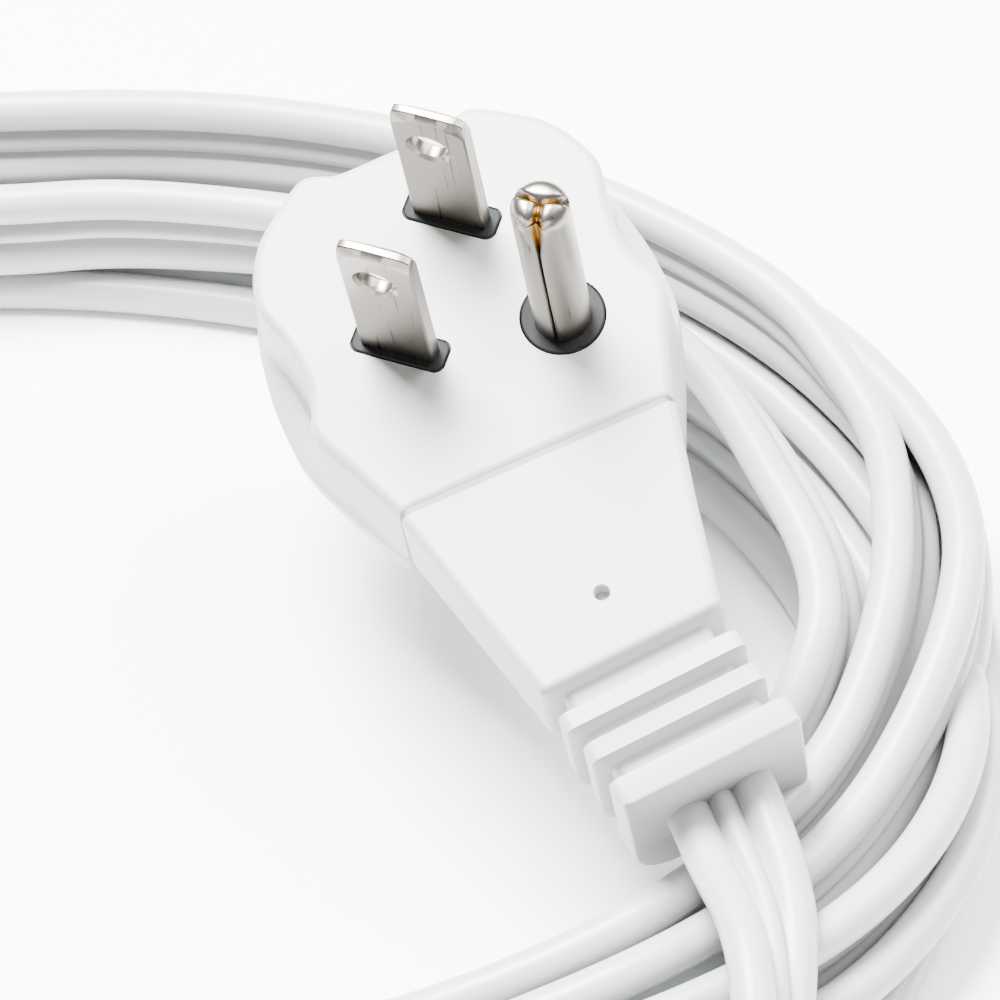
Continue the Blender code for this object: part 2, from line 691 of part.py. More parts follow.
def build_contact(label, across, height, slot, frame):
    """A female contact, open towards the outlet face, with a crimp barrel behind it."""
    name = f"{label}_contact"
    if slot:
        side, rise = CONTACT_HALF_WIDTH, CONTACT_HALF_HEIGHT
        contact = block(
            name, (CONTACT_START, across - side, height - rise), (CONTACT_END, across + side, height + rise), frame, "brass"
        )
        grip = block(
            f"{label}_grip",
            (CONTACT_END - CONTACT_SLOT_DEPTH, across - CONTACT_GRIP, height - 2 * rise),
            (CONTACT_END + 2 * MM, across + CONTACT_GRIP, height + 2 * rise),
            frame,
        )
    else:
        contact = rod(
            name, (CONTACT_START, across, height), (CONTACT_END, across, height), GROUND_CONTACT_RADIUS, frame, "brass"
        )
        grip = rod(
            f"{label}_grip",
            (CONTACT_END - CONTACT_SLOT_DEPTH, across, height),
            (CONTACT_END + 2 * MM, across, height),
            GROUND_CONTACT_BORE,
            frame,
        )
    change(contact, grip)
    end = Vector((CONTACT_START - SOCKET_BARREL_LENGTH, across, height))
    barrel = rod(f"{label}_socket_barrel", end, (CONTACT_START + MM, across, height), BARREL_RADIUS, frame, sides=20)
    change(contact, barrel, "UNION")
    bore_end = end + Vector((COPPER_INTO_BARREL + GAP, 0.0, 0.0))
    bore = rod(f"{label}_socket_bore", end - Vector((2 * MM, 0, 0)), bore_end, BARREL_BORE, frame, sides=16)
    change(contact, bore)
    return end


def build_socket():
    frame = frame_empty("connector_frame", SOCKET_AT, (0.0, 0.0, SOCKET_HEADING))
    build_socket_body(frame)
    build_socket_relief(frame)
    build_socket_insert(frame)
    cores = {"line": ("black_core", CORE_PITCH), "ground": ("green_core", 0.0), "neutral": ("white_cord", -CORE_PITCH)}
    for label, across, height, slot in contact_places():
        end = build_contact(label, across, height, slot, frame)
        material, lane = cores[label]
        cord_end = Vector((0.0, lane, SOCKET_CORD_HEIGHT))
        bend = (end.x - 2 * MM, end.x - 8.5 * MM)
        build_lead("connector", label, material, end, cord_end, (bend, bend), frame)


clear_scene()
PARTS = new_collection("extension_cord")
CUTTERS = new_collection("cutters")
MATERIALS = make_materials()
build_cord()
build_plug()
build_socket()
bpy.context.view_layer.update()
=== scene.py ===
"""A white flat extension cord: its coil, its right-angle plug and its connector, dressed for a studio.

Every class builds one sub-assembly in the model's own frame and reports its pieces through logging.
Shapes are in millimetres here and in metres in the meshes; lights and textures are in metres.
"""

import logging
import math
from dataclasses import dataclass, field
from enum import Enum
from typing import Callable, Sequence

import bmesh
import bpy
from mathutils import Euler, Matrix, Vector

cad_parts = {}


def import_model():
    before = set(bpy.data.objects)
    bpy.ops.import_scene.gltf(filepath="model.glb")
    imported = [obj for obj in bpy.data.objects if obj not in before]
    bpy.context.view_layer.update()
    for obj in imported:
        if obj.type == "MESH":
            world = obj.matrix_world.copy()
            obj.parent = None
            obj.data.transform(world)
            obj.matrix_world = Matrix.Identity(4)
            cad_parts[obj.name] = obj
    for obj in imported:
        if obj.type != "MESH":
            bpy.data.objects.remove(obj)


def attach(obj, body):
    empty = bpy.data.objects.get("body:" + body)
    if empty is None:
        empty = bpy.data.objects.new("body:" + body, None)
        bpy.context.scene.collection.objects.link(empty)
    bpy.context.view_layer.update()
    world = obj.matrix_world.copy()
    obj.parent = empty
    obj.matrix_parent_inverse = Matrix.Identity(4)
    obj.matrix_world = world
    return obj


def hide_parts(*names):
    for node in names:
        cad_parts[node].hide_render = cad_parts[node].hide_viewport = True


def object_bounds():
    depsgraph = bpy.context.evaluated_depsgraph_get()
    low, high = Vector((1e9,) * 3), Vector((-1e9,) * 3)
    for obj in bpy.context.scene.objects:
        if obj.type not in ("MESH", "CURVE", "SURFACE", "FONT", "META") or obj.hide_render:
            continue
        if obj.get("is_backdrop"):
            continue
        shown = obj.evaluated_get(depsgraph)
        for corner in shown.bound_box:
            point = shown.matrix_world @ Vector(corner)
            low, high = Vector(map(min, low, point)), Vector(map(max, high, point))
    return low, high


LOG = logging.getLogger("extension_cord")
MM = 0.001
BODY = "root"

# The coil's middle on the floor. The plug's own frame starts on its face, with X towards the neck.
COIL_MIDDLE = Vector((-3.76, -0.32, 0.0))
PLUG_AT = COIL_MIDDLE + Vector((38.6, 17.2, 33.4))
PLUG_TURN = Euler((math.radians(11.65), math.radians(11.4), math.radians(-66.4)))

Piece = bpy.types.Object
Material = bpy.types.Material
Socket = bpy.types.NodeSocket
Colour = tuple[float, float, float]
Flat = tuple[float, float]
Point = tuple[float, float, float]
Rows = tuple[tuple[float, ...], ...]
Line = list[tuple[Vector, float]]


class Slot(Enum):
    """The record's material slots."""

    PVC = "white_pvc"
    CORD = "white_cord"
    NYLON = "black_nylon"
    NICKEL = "nickel_plate"
    BRASS = "brass"
    COPPER = "copper"
    GREEN = "green_core"
    BLACK = "black_core"


# Shader groups and finishes.


def new_group(name: str, inputs: Sequence[tuple[str, float]], outputs: Sequence[str]) -> bpy.types.NodeTree:
    """Makes an empty shader group with float inputs and outputs.

    Args:
        name: The group's name.
        inputs: Each input's name and default value.
        outputs: The outputs' names.

    Returns:
        The group, with its input and output nodes in place.
    """
    group = bpy.data.node_groups.new(name, "ShaderNodeTree")
    for label, value in inputs:
        socket = group.interface.new_socket(label, in_out="INPUT", socket_type="NodeSocketFloat")
        socket.default_value = value
    for label in outputs:
        group.interface.new_socket(label, in_out="OUTPUT", socket_type="NodeSocketFloat")
    group.nodes.new("NodeGroupInput")
    group.nodes.new("NodeGroupOutput")
    return group


def grain_group() -> bpy.types.NodeTree:
    """A fine moulded grain and a soft mask of handling marks.

    Returns:
        The group, with Scale and Mark Scale inputs, and Height and Marks outputs.
    """
    group = new_group("fine_grain", (("Scale", 900.0), ("Mark Scale", 60.0)), ("Height", "Marks"))
    nodes, links = group.nodes, group.links
    entry, result = nodes["Group Input"], nodes["Group Output"]
    place = nodes.new("ShaderNodeTexCoord")
    fine = nodes.new("ShaderNodeTexNoise")
    fine.inputs["Detail"].default_value = 2.0
    marks = nodes.new("ShaderNodeTexNoise")
    marks.inputs["Detail"].default_value = 4.0
    marks.inputs["Roughness"].default_value = 0.6
    for texture, label in ((fine, "Scale"), (marks, "Mark Scale")):
        links.new(place.outputs["Object"], texture.inputs["Vector"])
        links.new(entry.outputs[label], texture.inputs["Scale"])
    links.new(fine.outputs["Fac"], result.inputs["Height"])
    links.new(marks.outputs["Fac"], result.inputs["Marks"])
    return group


def brushed_group() -> bpy.types.NodeTree:
    """Drawn lines along the plug's pins, for plated metal.

    Returns:
        The group, with Across, Along and Rarity inputs, and Height and Scratches outputs.
    """
    inputs = (("Across", 2600.0), ("Along", 90.0), ("Rarity", 0.62))
    group = new_group("drawn_lines", inputs, ("Height", "Scratches"))
    nodes, links = group.nodes, group.links
    entry, result = nodes["Group Input"], nodes["Group Output"]
    place = nodes.new("ShaderNodeTexCoord")
    turn = nodes.new("ShaderNodeMapping")
    turn.inputs["Rotation"].default_value = tuple(PLUG_TURN.to_matrix().inverted().to_euler())
    links.new(place.outputs["Object"], turn.inputs["Vector"])
    size = nodes.new("ShaderNodeCombineXYZ")
    links.new(entry.outputs["Across"], size.inputs["X"])
    links.new(entry.outputs["Across"], size.inputs["Y"])
    links.new(entry.outputs["Along"], size.inputs["Z"])
    stretch = nodes.new("ShaderNodeVectorMath")
    stretch.operation = "MULTIPLY"
    links.new(turn.outputs["Vector"], stretch.inputs[0])
    links.new(size.outputs["Vector"], stretch.inputs[1])
    lines = nodes.new("ShaderNodeTexNoise")
    lines.inputs["Scale"].default_value = 1.0
    lines.inputs["Detail"].default_value = 3.0
    links.new(stretch.outputs["Vector"], lines.inputs["Vector"])
    deep = nodes.new("ShaderNodeMath")
    deep.operation = "GREATER_THAN"
    links.new(lines.outputs["Fac"], deep.inputs[0])
    links.new(entry.outputs["Rarity"], deep.inputs[1])
    links.new(lines.outputs["Fac"], result.inputs["Height"])
    links.new(deep.outputs["Value"], result.inputs["Scratches"])
    return group


class Groups:
    """The shader groups, each made once."""

    made: dict[str, bpy.types.NodeTree] = {}

    @classmethod
    def place(cls, material: Material, make: Callable[[], bpy.types.NodeTree]) -> bpy.types.Node:
        """Puts a group in a material.

        Args:
            material: The material.
            make: What makes the group on its first use.

        Returns:
            The group's node.
        """
        if make.__name__ not in cls.made:
            cls.made[make.__name__] = make()
        node = material.node_tree.nodes.new("ShaderNodeGroup")
        node.node_tree = cls.made[make.__name__]
        return node


def new_material(name: str, rough: float) -> tuple[Material, bpy.types.Node]:
    """Starts a material.

    Args:
        name: Its name.
        rough: Its roughness.

    Returns:
        The material and its shader.
    """
    material = bpy.data.materials.new(name)
    material.use_nodes = True
    shader = material.node_tree.nodes["Principled BSDF"]
    shader.inputs["Roughness"].default_value = rough
    return material, shader


def colour_by(material: Material, mask: Socket, plain: Colour, marked: Colour) -> None:
    """Colours a material from one colour to another by a mask.

    Args:
        material: The material.
        mask: The output that drives the mix.
        plain: The colour where the mask is 0.
        marked: The colour where the mask is 1.
    """
    nodes, links = material.node_tree.nodes, material.node_tree.links
    tint = nodes.new("ShaderNodeMix")
    tint.data_type = "RGBA"
    tint.inputs["A"].default_value = (*plain, 1.0)
    tint.inputs["B"].default_value = (*marked, 1.0)
    links.new(mask, tint.inputs["Factor"])
    links.new(tint.outputs["Result"], nodes["Principled BSDF"].inputs["Base Color"])


def bump_by(material: Material, height: Socket, strength: float, depth: float) -> None:
    """Gives a material a fine relief.

    Args:
        material: The material.
        height: The output that holds the relief.
        strength: How much of it shows.
        depth: Its depth in metres.
    """
    nodes, links = material.node_tree.nodes, material.node_tree.links
    bump = nodes.new("ShaderNodeBump")
    bump.inputs["Strength"].default_value = strength
    bump.inputs["Distance"].default_value = depth
    links.new(height, bump.inputs["Height"])
    links.new(bump.outputs["Normal"], nodes["Principled BSDF"].inputs["Normal"])


@dataclass(frozen=True)
class Plastic:
    """A moulded or extruded plastic with a fine grain and faint handling marks."""

    name: str
    colour: Colour
    marked: Colour
    rough: float
    grain: float = 0.02
    grain_scale: float = 900.0
    grain_depth: float = 0.0002
    specular: float = 0.5

    def make(self) -> Material:
        """Builds the finish.

        Returns:
            The material.
        """
        material, shader = new_material(self.name, self.rough)
        shader.inputs["Specular IOR Level"].default_value = self.specular
        grain = Groups.place(material, grain_group)
        grain.inputs["Scale"].default_value = self.grain_scale
        colour_by(material, grain.outputs["Marks"], self.colour, self.marked)
        bump_by(material, grain.outputs["Height"], self.grain, self.grain_depth)
        return material


@dataclass(frozen=True)
class Metal:
    """A plated or bare metal with drawn lines and a few deeper scratches."""

    name: str
    colour: Colour
    scratch: Colour
    rough: float
    lines: float = 0.12
    line_depth: float = 0.0001
    rarity: float = 0.66

    def make(self) -> Material:
        """Builds the finish.

        Returns:
            The material.
        """
        material, shader = new_material(self.name, self.rough)
        shader.inputs["Metallic"].default_value = 1.0
        brushed = Groups.place(material, brushed_group)
        brushed.inputs["Rarity"].default_value = self.rarity
        colour_by(material, brushed.outputs["Scratches"], self.colour, self.scratch)
        bump_by(material, brushed.outputs["Height"], self.lines, self.line_depth)
        return material


CARRIER_FINISH = Plastic(
    "carrier_charcoal", (0.006, 0.0065, 0.007), (0.01, 0.0105, 0.011), 0.62, 0.12, 1500.0, specular=0.2
)
FINISHES = {
    Slot.PVC: Plastic("moulded_white", (0.435, 0.43, 0.422), (0.42, 0.415, 0.407), 0.42, 0.03),
    Slot.CORD: Plastic("jacket_white", (0.43, 0.432, 0.429), (0.415, 0.417, 0.415), 0.34, 0.015, 500.0),
    Slot.NYLON: CARRIER_FINISH,
    Slot.NICKEL: Metal("nickel_plate", (0.2, 0.184, 0.163), (0.09, 0.08, 0.07), 0.3),
    Slot.BRASS: Metal("gilt_brass", (0.26, 0.14, 0.025), (0.12, 0.06, 0.01), 0.32),
    Slot.COPPER: Metal("bare_copper", (0.80, 0.42, 0.26), (0.50, 0.24, 0.14), 0.34),
    Slot.GREEN: Plastic("core_green", (0.04, 0.30, 0.10), (0.05, 0.33, 0.12), 0.42),
    Slot.BLACK: Plastic("core_black", (0.03, 0.03, 0.03), (0.045, 0.045, 0.045), 0.42),
}
# The groove finish is a darker, cooler tint on the cord's recessed middle core and web: painted shade where
# the outer cores shade the recess.
GROOVE_SHADE_FINISH = Plastic("jacket_groove_painted_shade", (0.395, 0.412, 0.424), (0.38, 0.397, 0.41), 0.42, 0.02, 500.0)
# The seam finish is a darker beige for the strip in the gap between the plug's head and neck: painted shade
# in that narrow gap.
SEAM_SHADE_FINISH = Plastic("seam_painted_shade", (0.30, 0.28, 0.245), (0.27, 0.25, 0.22), 0.6)
PAPER_FINISH = Plastic("pale_floor", (0.97, 0.97, 0.97), (0.97, 0.97, 0.97), 0.9, 0.0)


class Dresser:
    """Makes each finish once and gives it to pieces."""

    def __init__(self) -> None:
        """Makes every finish."""
        self.finish: dict[Slot, Material] = {slot: look.make() for slot, look in FINISHES.items()}
        # The groove finish paints shade on the cord's recessed middle core and web.
        self.groove_shade = GROOVE_SHADE_FINISH.make()
        # The seam finish paints shade in the gap between head and neck.
        self.seam = SEAM_SHADE_FINISH.make()

    def dress_node(self, name: str, slot: Slot) -> None:
        """Gives a CAD node its finish.

        Args:
            name: The node's name.
            slot: The finish's slot.
        """
        mesh = bpy.data.objects[name].data
        mesh.materials.clear()
        mesh.materials.append(self.finish[slot])
        LOG.info("%s: %s", name, slot.value)

    def place(self, piece: Piece, slot: Slot, *nodes: str) -> Piece:
        """Puts a new piece on the body, hides the CAD nodes that it stands for and logs its slot.

        Args:
            piece: The piece.
            slot: The slot that is logged for it; the piece's finish comes from its own materials.
            nodes: The CAD nodes that it replaces.

        Returns:
            The piece.
        """
        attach(piece, BODY)
        if nodes:
            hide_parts(*nodes)
        LOG.info("%s: %d faces, %s", piece.name, len(piece.data.polygons), slot.value)
        return piece


# Lines and meshes.


def catmull(points: Sequence[Vector], steps: int) -> list[Vector]:
    """A smooth open line through points.

    Args:
        points: The points.
        steps: How many stretches the line has between each two.

    Returns:
        The line's points.
    """
    ends = [2 * points[0] - points[1], *points, 2 * points[-1] - points[-2]]
    line = []
    for a, b, c, d in zip(ends, ends[1:], ends[2:], ends[3:]):
        for k in range(steps):
            t = k / steps
            square = (2 * a - 5 * b + 4 * c - d) * t * t
            cube = (3 * b - a - 3 * c + d) * t**3
            line.append(0.5 * (2 * b + (c - a) * t + square + cube))
    return [*line, points[-1]]


def smooth_value(knots: Sequence[Sequence[float]], at: float) -> list[float]:
    """Values at a place along rows of (place, value, value, ...), smooth through every row.

    Args:
        knots: The rows, in falling order of place.
        at: The place.

    Returns:
        The values there.
    """
    i = 0
    while i < len(knots) - 2 and knots[i + 1][0] > at:
        i += 1
    low, high = knots[i], knots[i + 1]
    before, after = knots[max(i - 1, 0)], knots[min(i + 2, len(knots) - 1)]
    span = high[0] - low[0]
    t = min(1.0, max(0.0, (at - low[0]) / span))
    out = []
    for k in range(1, len(low)):
        leave = (high[k] - before[k]) / (high[0] - before[0]) * span
        arrive = (after[k] - low[k]) / (after[0] - low[0]) * span
        out.append(
            (2 * t**3 - 3 * t * t + 1) * low[k]
            + (t**3 - 2 * t * t + t) * leave
            + (3 * t * t - 2 * t**3) * high[k]
            + (t**3 - t * t) * arrive
        )
    return out


def unit_circle(count: int) -> list[Flat]:
    """Points round a circle of radius 1."""
    return [(math.cos(2 * math.pi * k / count), math.sin(2 * math.pi * k / count)) for k in range(count)]


class MeshMaker:
    """Collects rings of points and the faces between them."""

    def __init__(self) -> None:
        """Starts with no points."""
        self.points: list[Vector] = []
        self.faces: list[tuple[int, ...]] = []
        self.slots: list[int] = []

    def ring(self, points: Sequence[Vector]) -> list[int]:
        """Adds points.

        Args:
            points: The points.

        Returns:
            Their numbers.
        """
        start = len(self.points)
        self.points.extend(points)
        return list(range(start, len(self.points)))

    def face(self, corners: Sequence[int], slot: int = 0) -> None:
        """Adds one face."""
        self.faces.append(tuple(corners))
        self.slots.append(slot)

    def bridge(self, a: Sequence[int], b: Sequence[int], slots: Sequence[int] | None = None) -> None:
        """Joins two closed rings with quads.

        Args:
            a: The first ring.
            b: The second ring, with as many points.
            slots: The material slot of each quad, or None for the first.
        """
        count = len(a)
        for i in range(count):
            j = (i + 1) % count
            self.face((a[i], a[j], b[j], b[i]), slots[i] if slots else 0)

    def tube(self, rings: Sequence[Sequence[int]], slots: Sequence[int] | None = None) -> None:
        """Joins closed rings in order and closes both ends.

        Args:
            rings: The rings, with as many points each.
            slots: The material slot of each quad round a ring, or None for the first.
        """
        for a, b in zip(rings, rings[1:]):
            self.bridge(a, b, slots)
        self.face(rings[0][::-1])
        self.face(rings[-1])

    def build(self, name: str, materials: Sequence[Material], sharp: float = 35.0) -> Piece:
        """Makes the object.

        Args:
            name: The piece's name.
            materials: Its materials, in slot order.
            sharp: The angle in degrees above which an edge stays sharp.

        Returns:
            The object, linked to the scene.
        """
        mesh = bpy.data.meshes.new(name)
        mesh.from_pydata([p * MM for p in self.points], [], self.faces)
        for material in materials:
            mesh.materials.append(material)
        mesh.polygons.foreach_set("material_index", self.slots)
        shape = bmesh.new()
        shape.from_mesh(mesh)
        bmesh.ops.recalc_face_normals(shape, faces=shape.faces)
        shape.to_mesh(mesh)
        shape.free()
        mesh.shade_smooth()
        mesh.set_sharp_from_angle(angle=math.radians(sharp))
        piece = bpy.data.objects.new(name, mesh)
        bpy.context.scene.collection.objects.link(piece)
        return piece


def plug_space() -> Matrix:
    """The plug's own frame, in millimetres."""
    return Matrix.Translation(PLUG_AT) @ PLUG_TURN.to_matrix().to_4x4()


def plug_loft(
    name: str, rings: Sequence[Sequence[Vector]], materials: Sequence[Material] = (), sharp: float = 35.0
) -> Piece:
    """A closed solid through rings of the plug's own frame, with a flat cap at each end.

    Args:
        name: The piece's name.
        rings: The rings, with as many points each.
        materials: Its materials; a cutter has none.
        sharp: The angle in degrees above which an edge stays sharp.

    Returns:
        The object, linked to the scene.
    """
    frame, maker = plug_space(), MeshMaker()
    numbered = [maker.ring([frame @ p for p in ring]) for ring in rings]
    maker.tube(numbered)
    return maker.build(name, materials, sharp)


def settle(piece: Piece) -> None:
    """Turns a piece's modifiers into its mesh for good.

    Args:
        piece: The object.
    """
    graph = bpy.context.evaluated_depsgraph_get()
    mesh = bpy.data.meshes.new_from_object(piece.evaluated_get(graph))
    piece.modifiers.clear()
    old, piece.data = piece.data, mesh
    bpy.data.meshes.remove(old)


def cut(piece: Piece, cutter: Piece) -> None:
    """Cuts one object out of another for good, and removes the cutter.

    Args:
        piece: The object that stays.
        cutter: The object that is taken away.
    """
    step = piece.modifiers.new("cut", "BOOLEAN")
    step.operation = "DIFFERENCE"
    step.solver = "EXACT"
    step.object = cutter
    settle(piece)
    bpy.data.objects.remove(cutter, do_unlink=True)


def flatten_shading(piece: Piece, sharp: float) -> None:
    """Keeps big flat faces evenly shaded beside small rounded edges.

    Args:
        piece: The object.
        sharp: The angle in degrees above which an edge stays sharp.
    """
    piece.data.set_sharp_from_angle(angle=math.radians(sharp))
    step = piece.modifiers.new("even", "WEIGHTED_NORMAL")
    step.keep_sharp = True
    step.weight = 100
    settle(piece)


# The cord.


@dataclass(frozen=True)
class Section:
    """The cord's cross-section: two outer cores, a lower middle one, and a web between them.

    An arc is (start, span) in half turns, measured from the outer edge.
    """

    pitch: float = 2.85
    outer: float = 1.8
    outer_arc: Flat = (-0.9, 1.8)
    outer_steps: int = 18
    middle_height: float = 1.45
    middle_width: float = 1.04
    middle_arc: Flat = (0.14, 0.72)
    middle_steps: int = 6
    web_thick: float = 0.5
    web_at: float = 1.08

    @staticmethod
    def angles(arc: Flat, steps: int) -> list[float]:
        """The angles along an arc, in radians."""
        return [math.pi * (arc[0] + arc[1] * k / steps) for k in range(steps + 1)]

    def outline(self) -> tuple[list[Flat], list[int]]:
        """The outline as (thickness, width) points round the section, and each side's slot.

        Returns:
            The points, anticlockwise, and 1 for a side on the middle core or 0 for one on an outer core.
        """
        lobe = [
            (self.outer * math.sin(a), self.pitch + self.outer * math.cos(a))
            for a in self.angles(self.outer_arc, self.outer_steps)
        ]
        middle = [
            (self.middle_height * math.sin(a), self.middle_width * math.cos(a))
            for a in self.angles(self.middle_arc, self.middle_steps)
        ]
        half = [*lobe, (self.web_thick, self.web_at), *middle, (self.web_thick, -self.web_at)]
        slots = [0] * (len(lobe) - 1) + [1] * (len(half) - len(lobe) + 1)
        return half + [(-t, -w) for t, w in half], slots + slots


@dataclass
class CoiledCord:
    """The whole flat cord, from the plug's flange round the coil to the connector.

    A lane is rows of (angle, outward, height, lean): degrees round the oval, millimetres outside its
    inner edge, millimetres above the floor, and degrees that the cord's upper edge leans inward.
    """

    width: float = 9.3
    metres: float = 2.7
    inner: Flat = (69.0, 43.5)
    exit_at: Vector = field(default_factory=lambda: Vector((60.5, -24.0, 16.3)))
    section: Section = field(default_factory=Section)
    step: float = 1.5
    turn_step: float = 2.5
    hand_steps: int = 8
    smoothings: int = 3
    # (x, y, z, lean) from the flange to the outermost lane, from the coil's middle.
    lead: Rows = (
        (59.3, -21.3, 16.9, 101), (60.5, -24.0, 16.5, 101), (62.0, -28.8, 16.2, 92),
        (63.2, -33.0, 16.3, 73), (63.8, -37.0, 16.5, 53), (64.0, -41.0, 16.4, 39), (63.9, -45.5, 15.6, 29),
        (63.7, -50.0, 13.6, 22), (63.0, -55.0, 10.8, 22), (59.8, -60.2, 7.8, 16), (54.0, -64.4, 5.7, 12),
        (46.0, -67.2, 4.9, 8), (35.0, -68.4, 4.7, 6), (22.0, -68.6, 4.7, 5), (8.0, -68.3, 4.7, 5),
        (-6.0, -67.6, 4.7, 5),
    )
    lanes: tuple[Rows, ...] = (
        # The outer lane, which climbs beside the top one on the far side and comes out from behind it.
        (
            (-110, 24.1, 4.7, 5), (-150, 21.5, 4.7, 5), (-200, 18.0, 4.7, 5), (-245, 16.8, 4.7, 3),
            (-280, 16.2, 4.8, 0), (-298, 15.0, 6.0, 0), (-312, 13.4, 8.6, 4), (-324, 12.4, 11.4, 10),
            (-333, 12.7, 13.0, 18), (-339, 12.9, 13.8, 20), (-348, 13.4, 13.9, 16), (-357, 13.1, 13.8, 10),
            (-362, 12.6, 13.3, 12), (-366, 12.2, 12.6, 15), (-372, 11.4, 11.2, 15), (-378, 10.5, 9.6, 9),
            (-386, 9.9, 8.4, 7), (-398, 8.9, 8.3, 5), (-408, 8.0, 8.1, 5), (-420, 5.7, 4.8, 5),
            (-435, 5.6, 4.7, 5), (-480, 5.6, 4.7, 5),
        ),
        # The lane that lies flat on the floor on the far side and slips out under the others on the right.
        (
            (-510, 4.8, 4.2, -20), (-560, 3.9, 2.0, -78), (-628, 3.7, 1.8, -85), (-645, 3.4, 1.8, -85),
            (-670, 3.0, 2.2, -78), (-692, 2.6, 3.2, -60), (-706, 3.2, 3.7, -52), (-716, 4.8, 3.2, -60),
            (-728, 8.0, 2.2, -78), (-740, 12.0, 1.8, -90), (-752, 16.0, 1.8, -92), (-764, 19.2, 2.6, -112),
            (-776, 20.3, 4.3, -160), (-786, 20.4, 4.7, -175), (-840, 20.4, 4.7, -175),
        ),
        # The low lane outside the middle one, which ends up lowest on the right.
        (
            (-870, 18.0, 4.7, -176), (-915, 14.2, 4.7, -178), (-965, 13.0, 4.7, -180),
            (-1005, 12.6, 4.7, -180), (-1050, 12.0, 4.7, -178), (-1065, 12.5, 4.7, -178),
            (-1080, 14.2, 4.7, -176), (-1090, 15.5, 4.7, -182), (-1100, 16.8, 4.6, -202),
            (-1108, 17.2, 4.6, -208), (-1116, 17.2, 4.6, -208), (-1124, 16.4, 4.6, -200),
            (-1134, 14.7, 4.7, -184), (-1148, 13.1, 4.7, -175), (-1200, 13.0, 4.7, -175),
        ),
        # The low middle lane, which comes out on the right between that one and the outer one.
        (
            (-1230, 11.4, 4.7, -176), (-1275, 9.6, 4.7, -178), (-1325, 9.3, 4.7, -180),
            (-1365, 9.0, 4.7, -180), (-1410, 8.5, 4.7, -178), (-1425, 8.9, 4.8, -176),
            (-1438, 10.8, 5.4, -176), (-1448, 13.4, 7.2, -178), (-1457, 14.8, 8.4, -186),
            (-1466, 15.2, 8.8, -192), (-1474, 14.8, 8.8, -190), (-1484, 13.4, 8.5, -182),
            (-1494, 11.6, 7.4, -176), (-1508, 9.4, 4.8, -175), (-1560, 9.3, 4.7, -175),
        ),
        # The lane that stands on the flat one on the far side and crosses under the rest on the right.
        (
            (-1600, 6.4, 6.5, -180), (-1650, 2.6, 8.1, -186), (-1709, 1.8, 8.25, -189),
            (-1716, 2.8, 8.3, -187), (-1726, 3.2, 8.6, -182), (-1745, 3.4, 10.2, -170),
            (-1760, 3.0, 12.2, -156), (-1767, 2.5, 13.0, -151), (-1774, 1.1, 13.5, -151),
            (-1786, -0.1, 14.0, -148), (-1795, 0.7, 14.0, -152), (-1802, 1.5, 13.5, -158),
            (-1808, 1.8, 12.8, -162), (-1814, 1.6, 10.8, -156), (-1821, 1.5, 7.6, -138),
            (-1829, 2.8, 3.8, -112), (-1838, 6.4, 1.9, -92), (-1848, 11.2, 1.9, -92),
            (-1858, 15.2, 3.2, -120), (-1868, 16.6, 4.6, -165), (-1878, 16.7, 4.7, -175),
            (-1920, 16.7, 4.7, -175),
        ),
        # The top lane, which climbs over the rest on the left and crosses inward over them on the right.
        (
            (-1940, 16.4, 6.2, -178), (-1958, 15.4, 10.6, -182), (-1978, 13.0, 13.4, -188),
            (-2005, 9.4, 13.8, -193), (-2035, 7.8, 13.6, -197), (-2069, 8.0, 13.5, -197),
            (-2076, 8.7, 13.5, -193), (-2085, 9.5, 13.5, -195), (-2100, 10.3, 13.6, -193),
            (-2122, 10.7, 13.8, -189), (-2129, 10.8, 13.8, -184), (-2135, 10.3, 13.8, -171),
            (-2142, 10.1, 13.8, -162), (-2147, 9.6, 13.8, -157), (-2152, 8.7, 13.8, -154),
            (-2156, 8.1, 13.5, -156), (-2161, 7.3, 13.0, -160), (-2165, 6.7, 12.4, -164),
            (-2170, 6.0, 11.0, -170), (-2176, 5.3, 9.3, -176), (-2181, 4.7, 8.5, -178),
            (-2190, 4.2, 8.3, -178), (-2202, 4.2, 8.2, -176), (-2212, 2.8, 6.2, -175),
            (-2222, 1.9, 4.8, -175), (-2240, 1.9, 4.7, -175),
        ),
    )
    # (x, y, z, lean) from the innermost lane to the connector, from the coil's middle.
    tail: Rows = (
        (9.0, -44.0, 4.9, -168), (3.0, -42.6, 5.2, -156), (-3.0, -40.2, 6.4, -136),
        (-8.6, -36.7, 8.2, -114), (-13.4, -32.4, 10.0, -98), (-17.5, -29.0, 10.9, -90),
        (-19.4, -26.7, 11.0, -90),
    )

    def lane_point(self, angle: float, outward: float, height: float) -> Vector:
        """A point of a lane.

        Args:
            angle: Degrees round the oval.
            outward: Its distance outside the oval's inner edge.
            height: Its height.

        Returns:
            The point, from the coil's middle.
        """
        a = math.radians(angle)
        x, y = (half + outward for half in self.inner)
        return Vector((x * math.cos(a), y * math.sin(a), height))

    def stretch(self, rows: Sequence[Sequence[float]]) -> Line:
        """The (point, lean) pairs of a stretch outside the coil, smooth through its (x, y, z, lean) rows."""
        return [(Vector(p[:3]), p[3]) for p in catmull([Vector(row) for row in rows], self.hand_steps)]

    def route(self) -> Line:
        """The centreline's points and leans, close together, from the plug to the connector.

        Returns:
            (point, lean) pairs in the model's frame.
        """
        line = self.stretch(self.lead)
        knots = [row for lane in self.lanes for row in lane]
        angle, last = knots[0][0], knots[-1][0]
        while angle >= last:
            outward, height, lean = smooth_value(knots, angle)
            line.append((self.lane_point(angle, outward, height), lean))
            angle -= self.turn_step
        line += self.stretch(self.tail)
        return self.softened(self.evened([(COIL_MIDDLE + p, lean) for p, lean in line]))

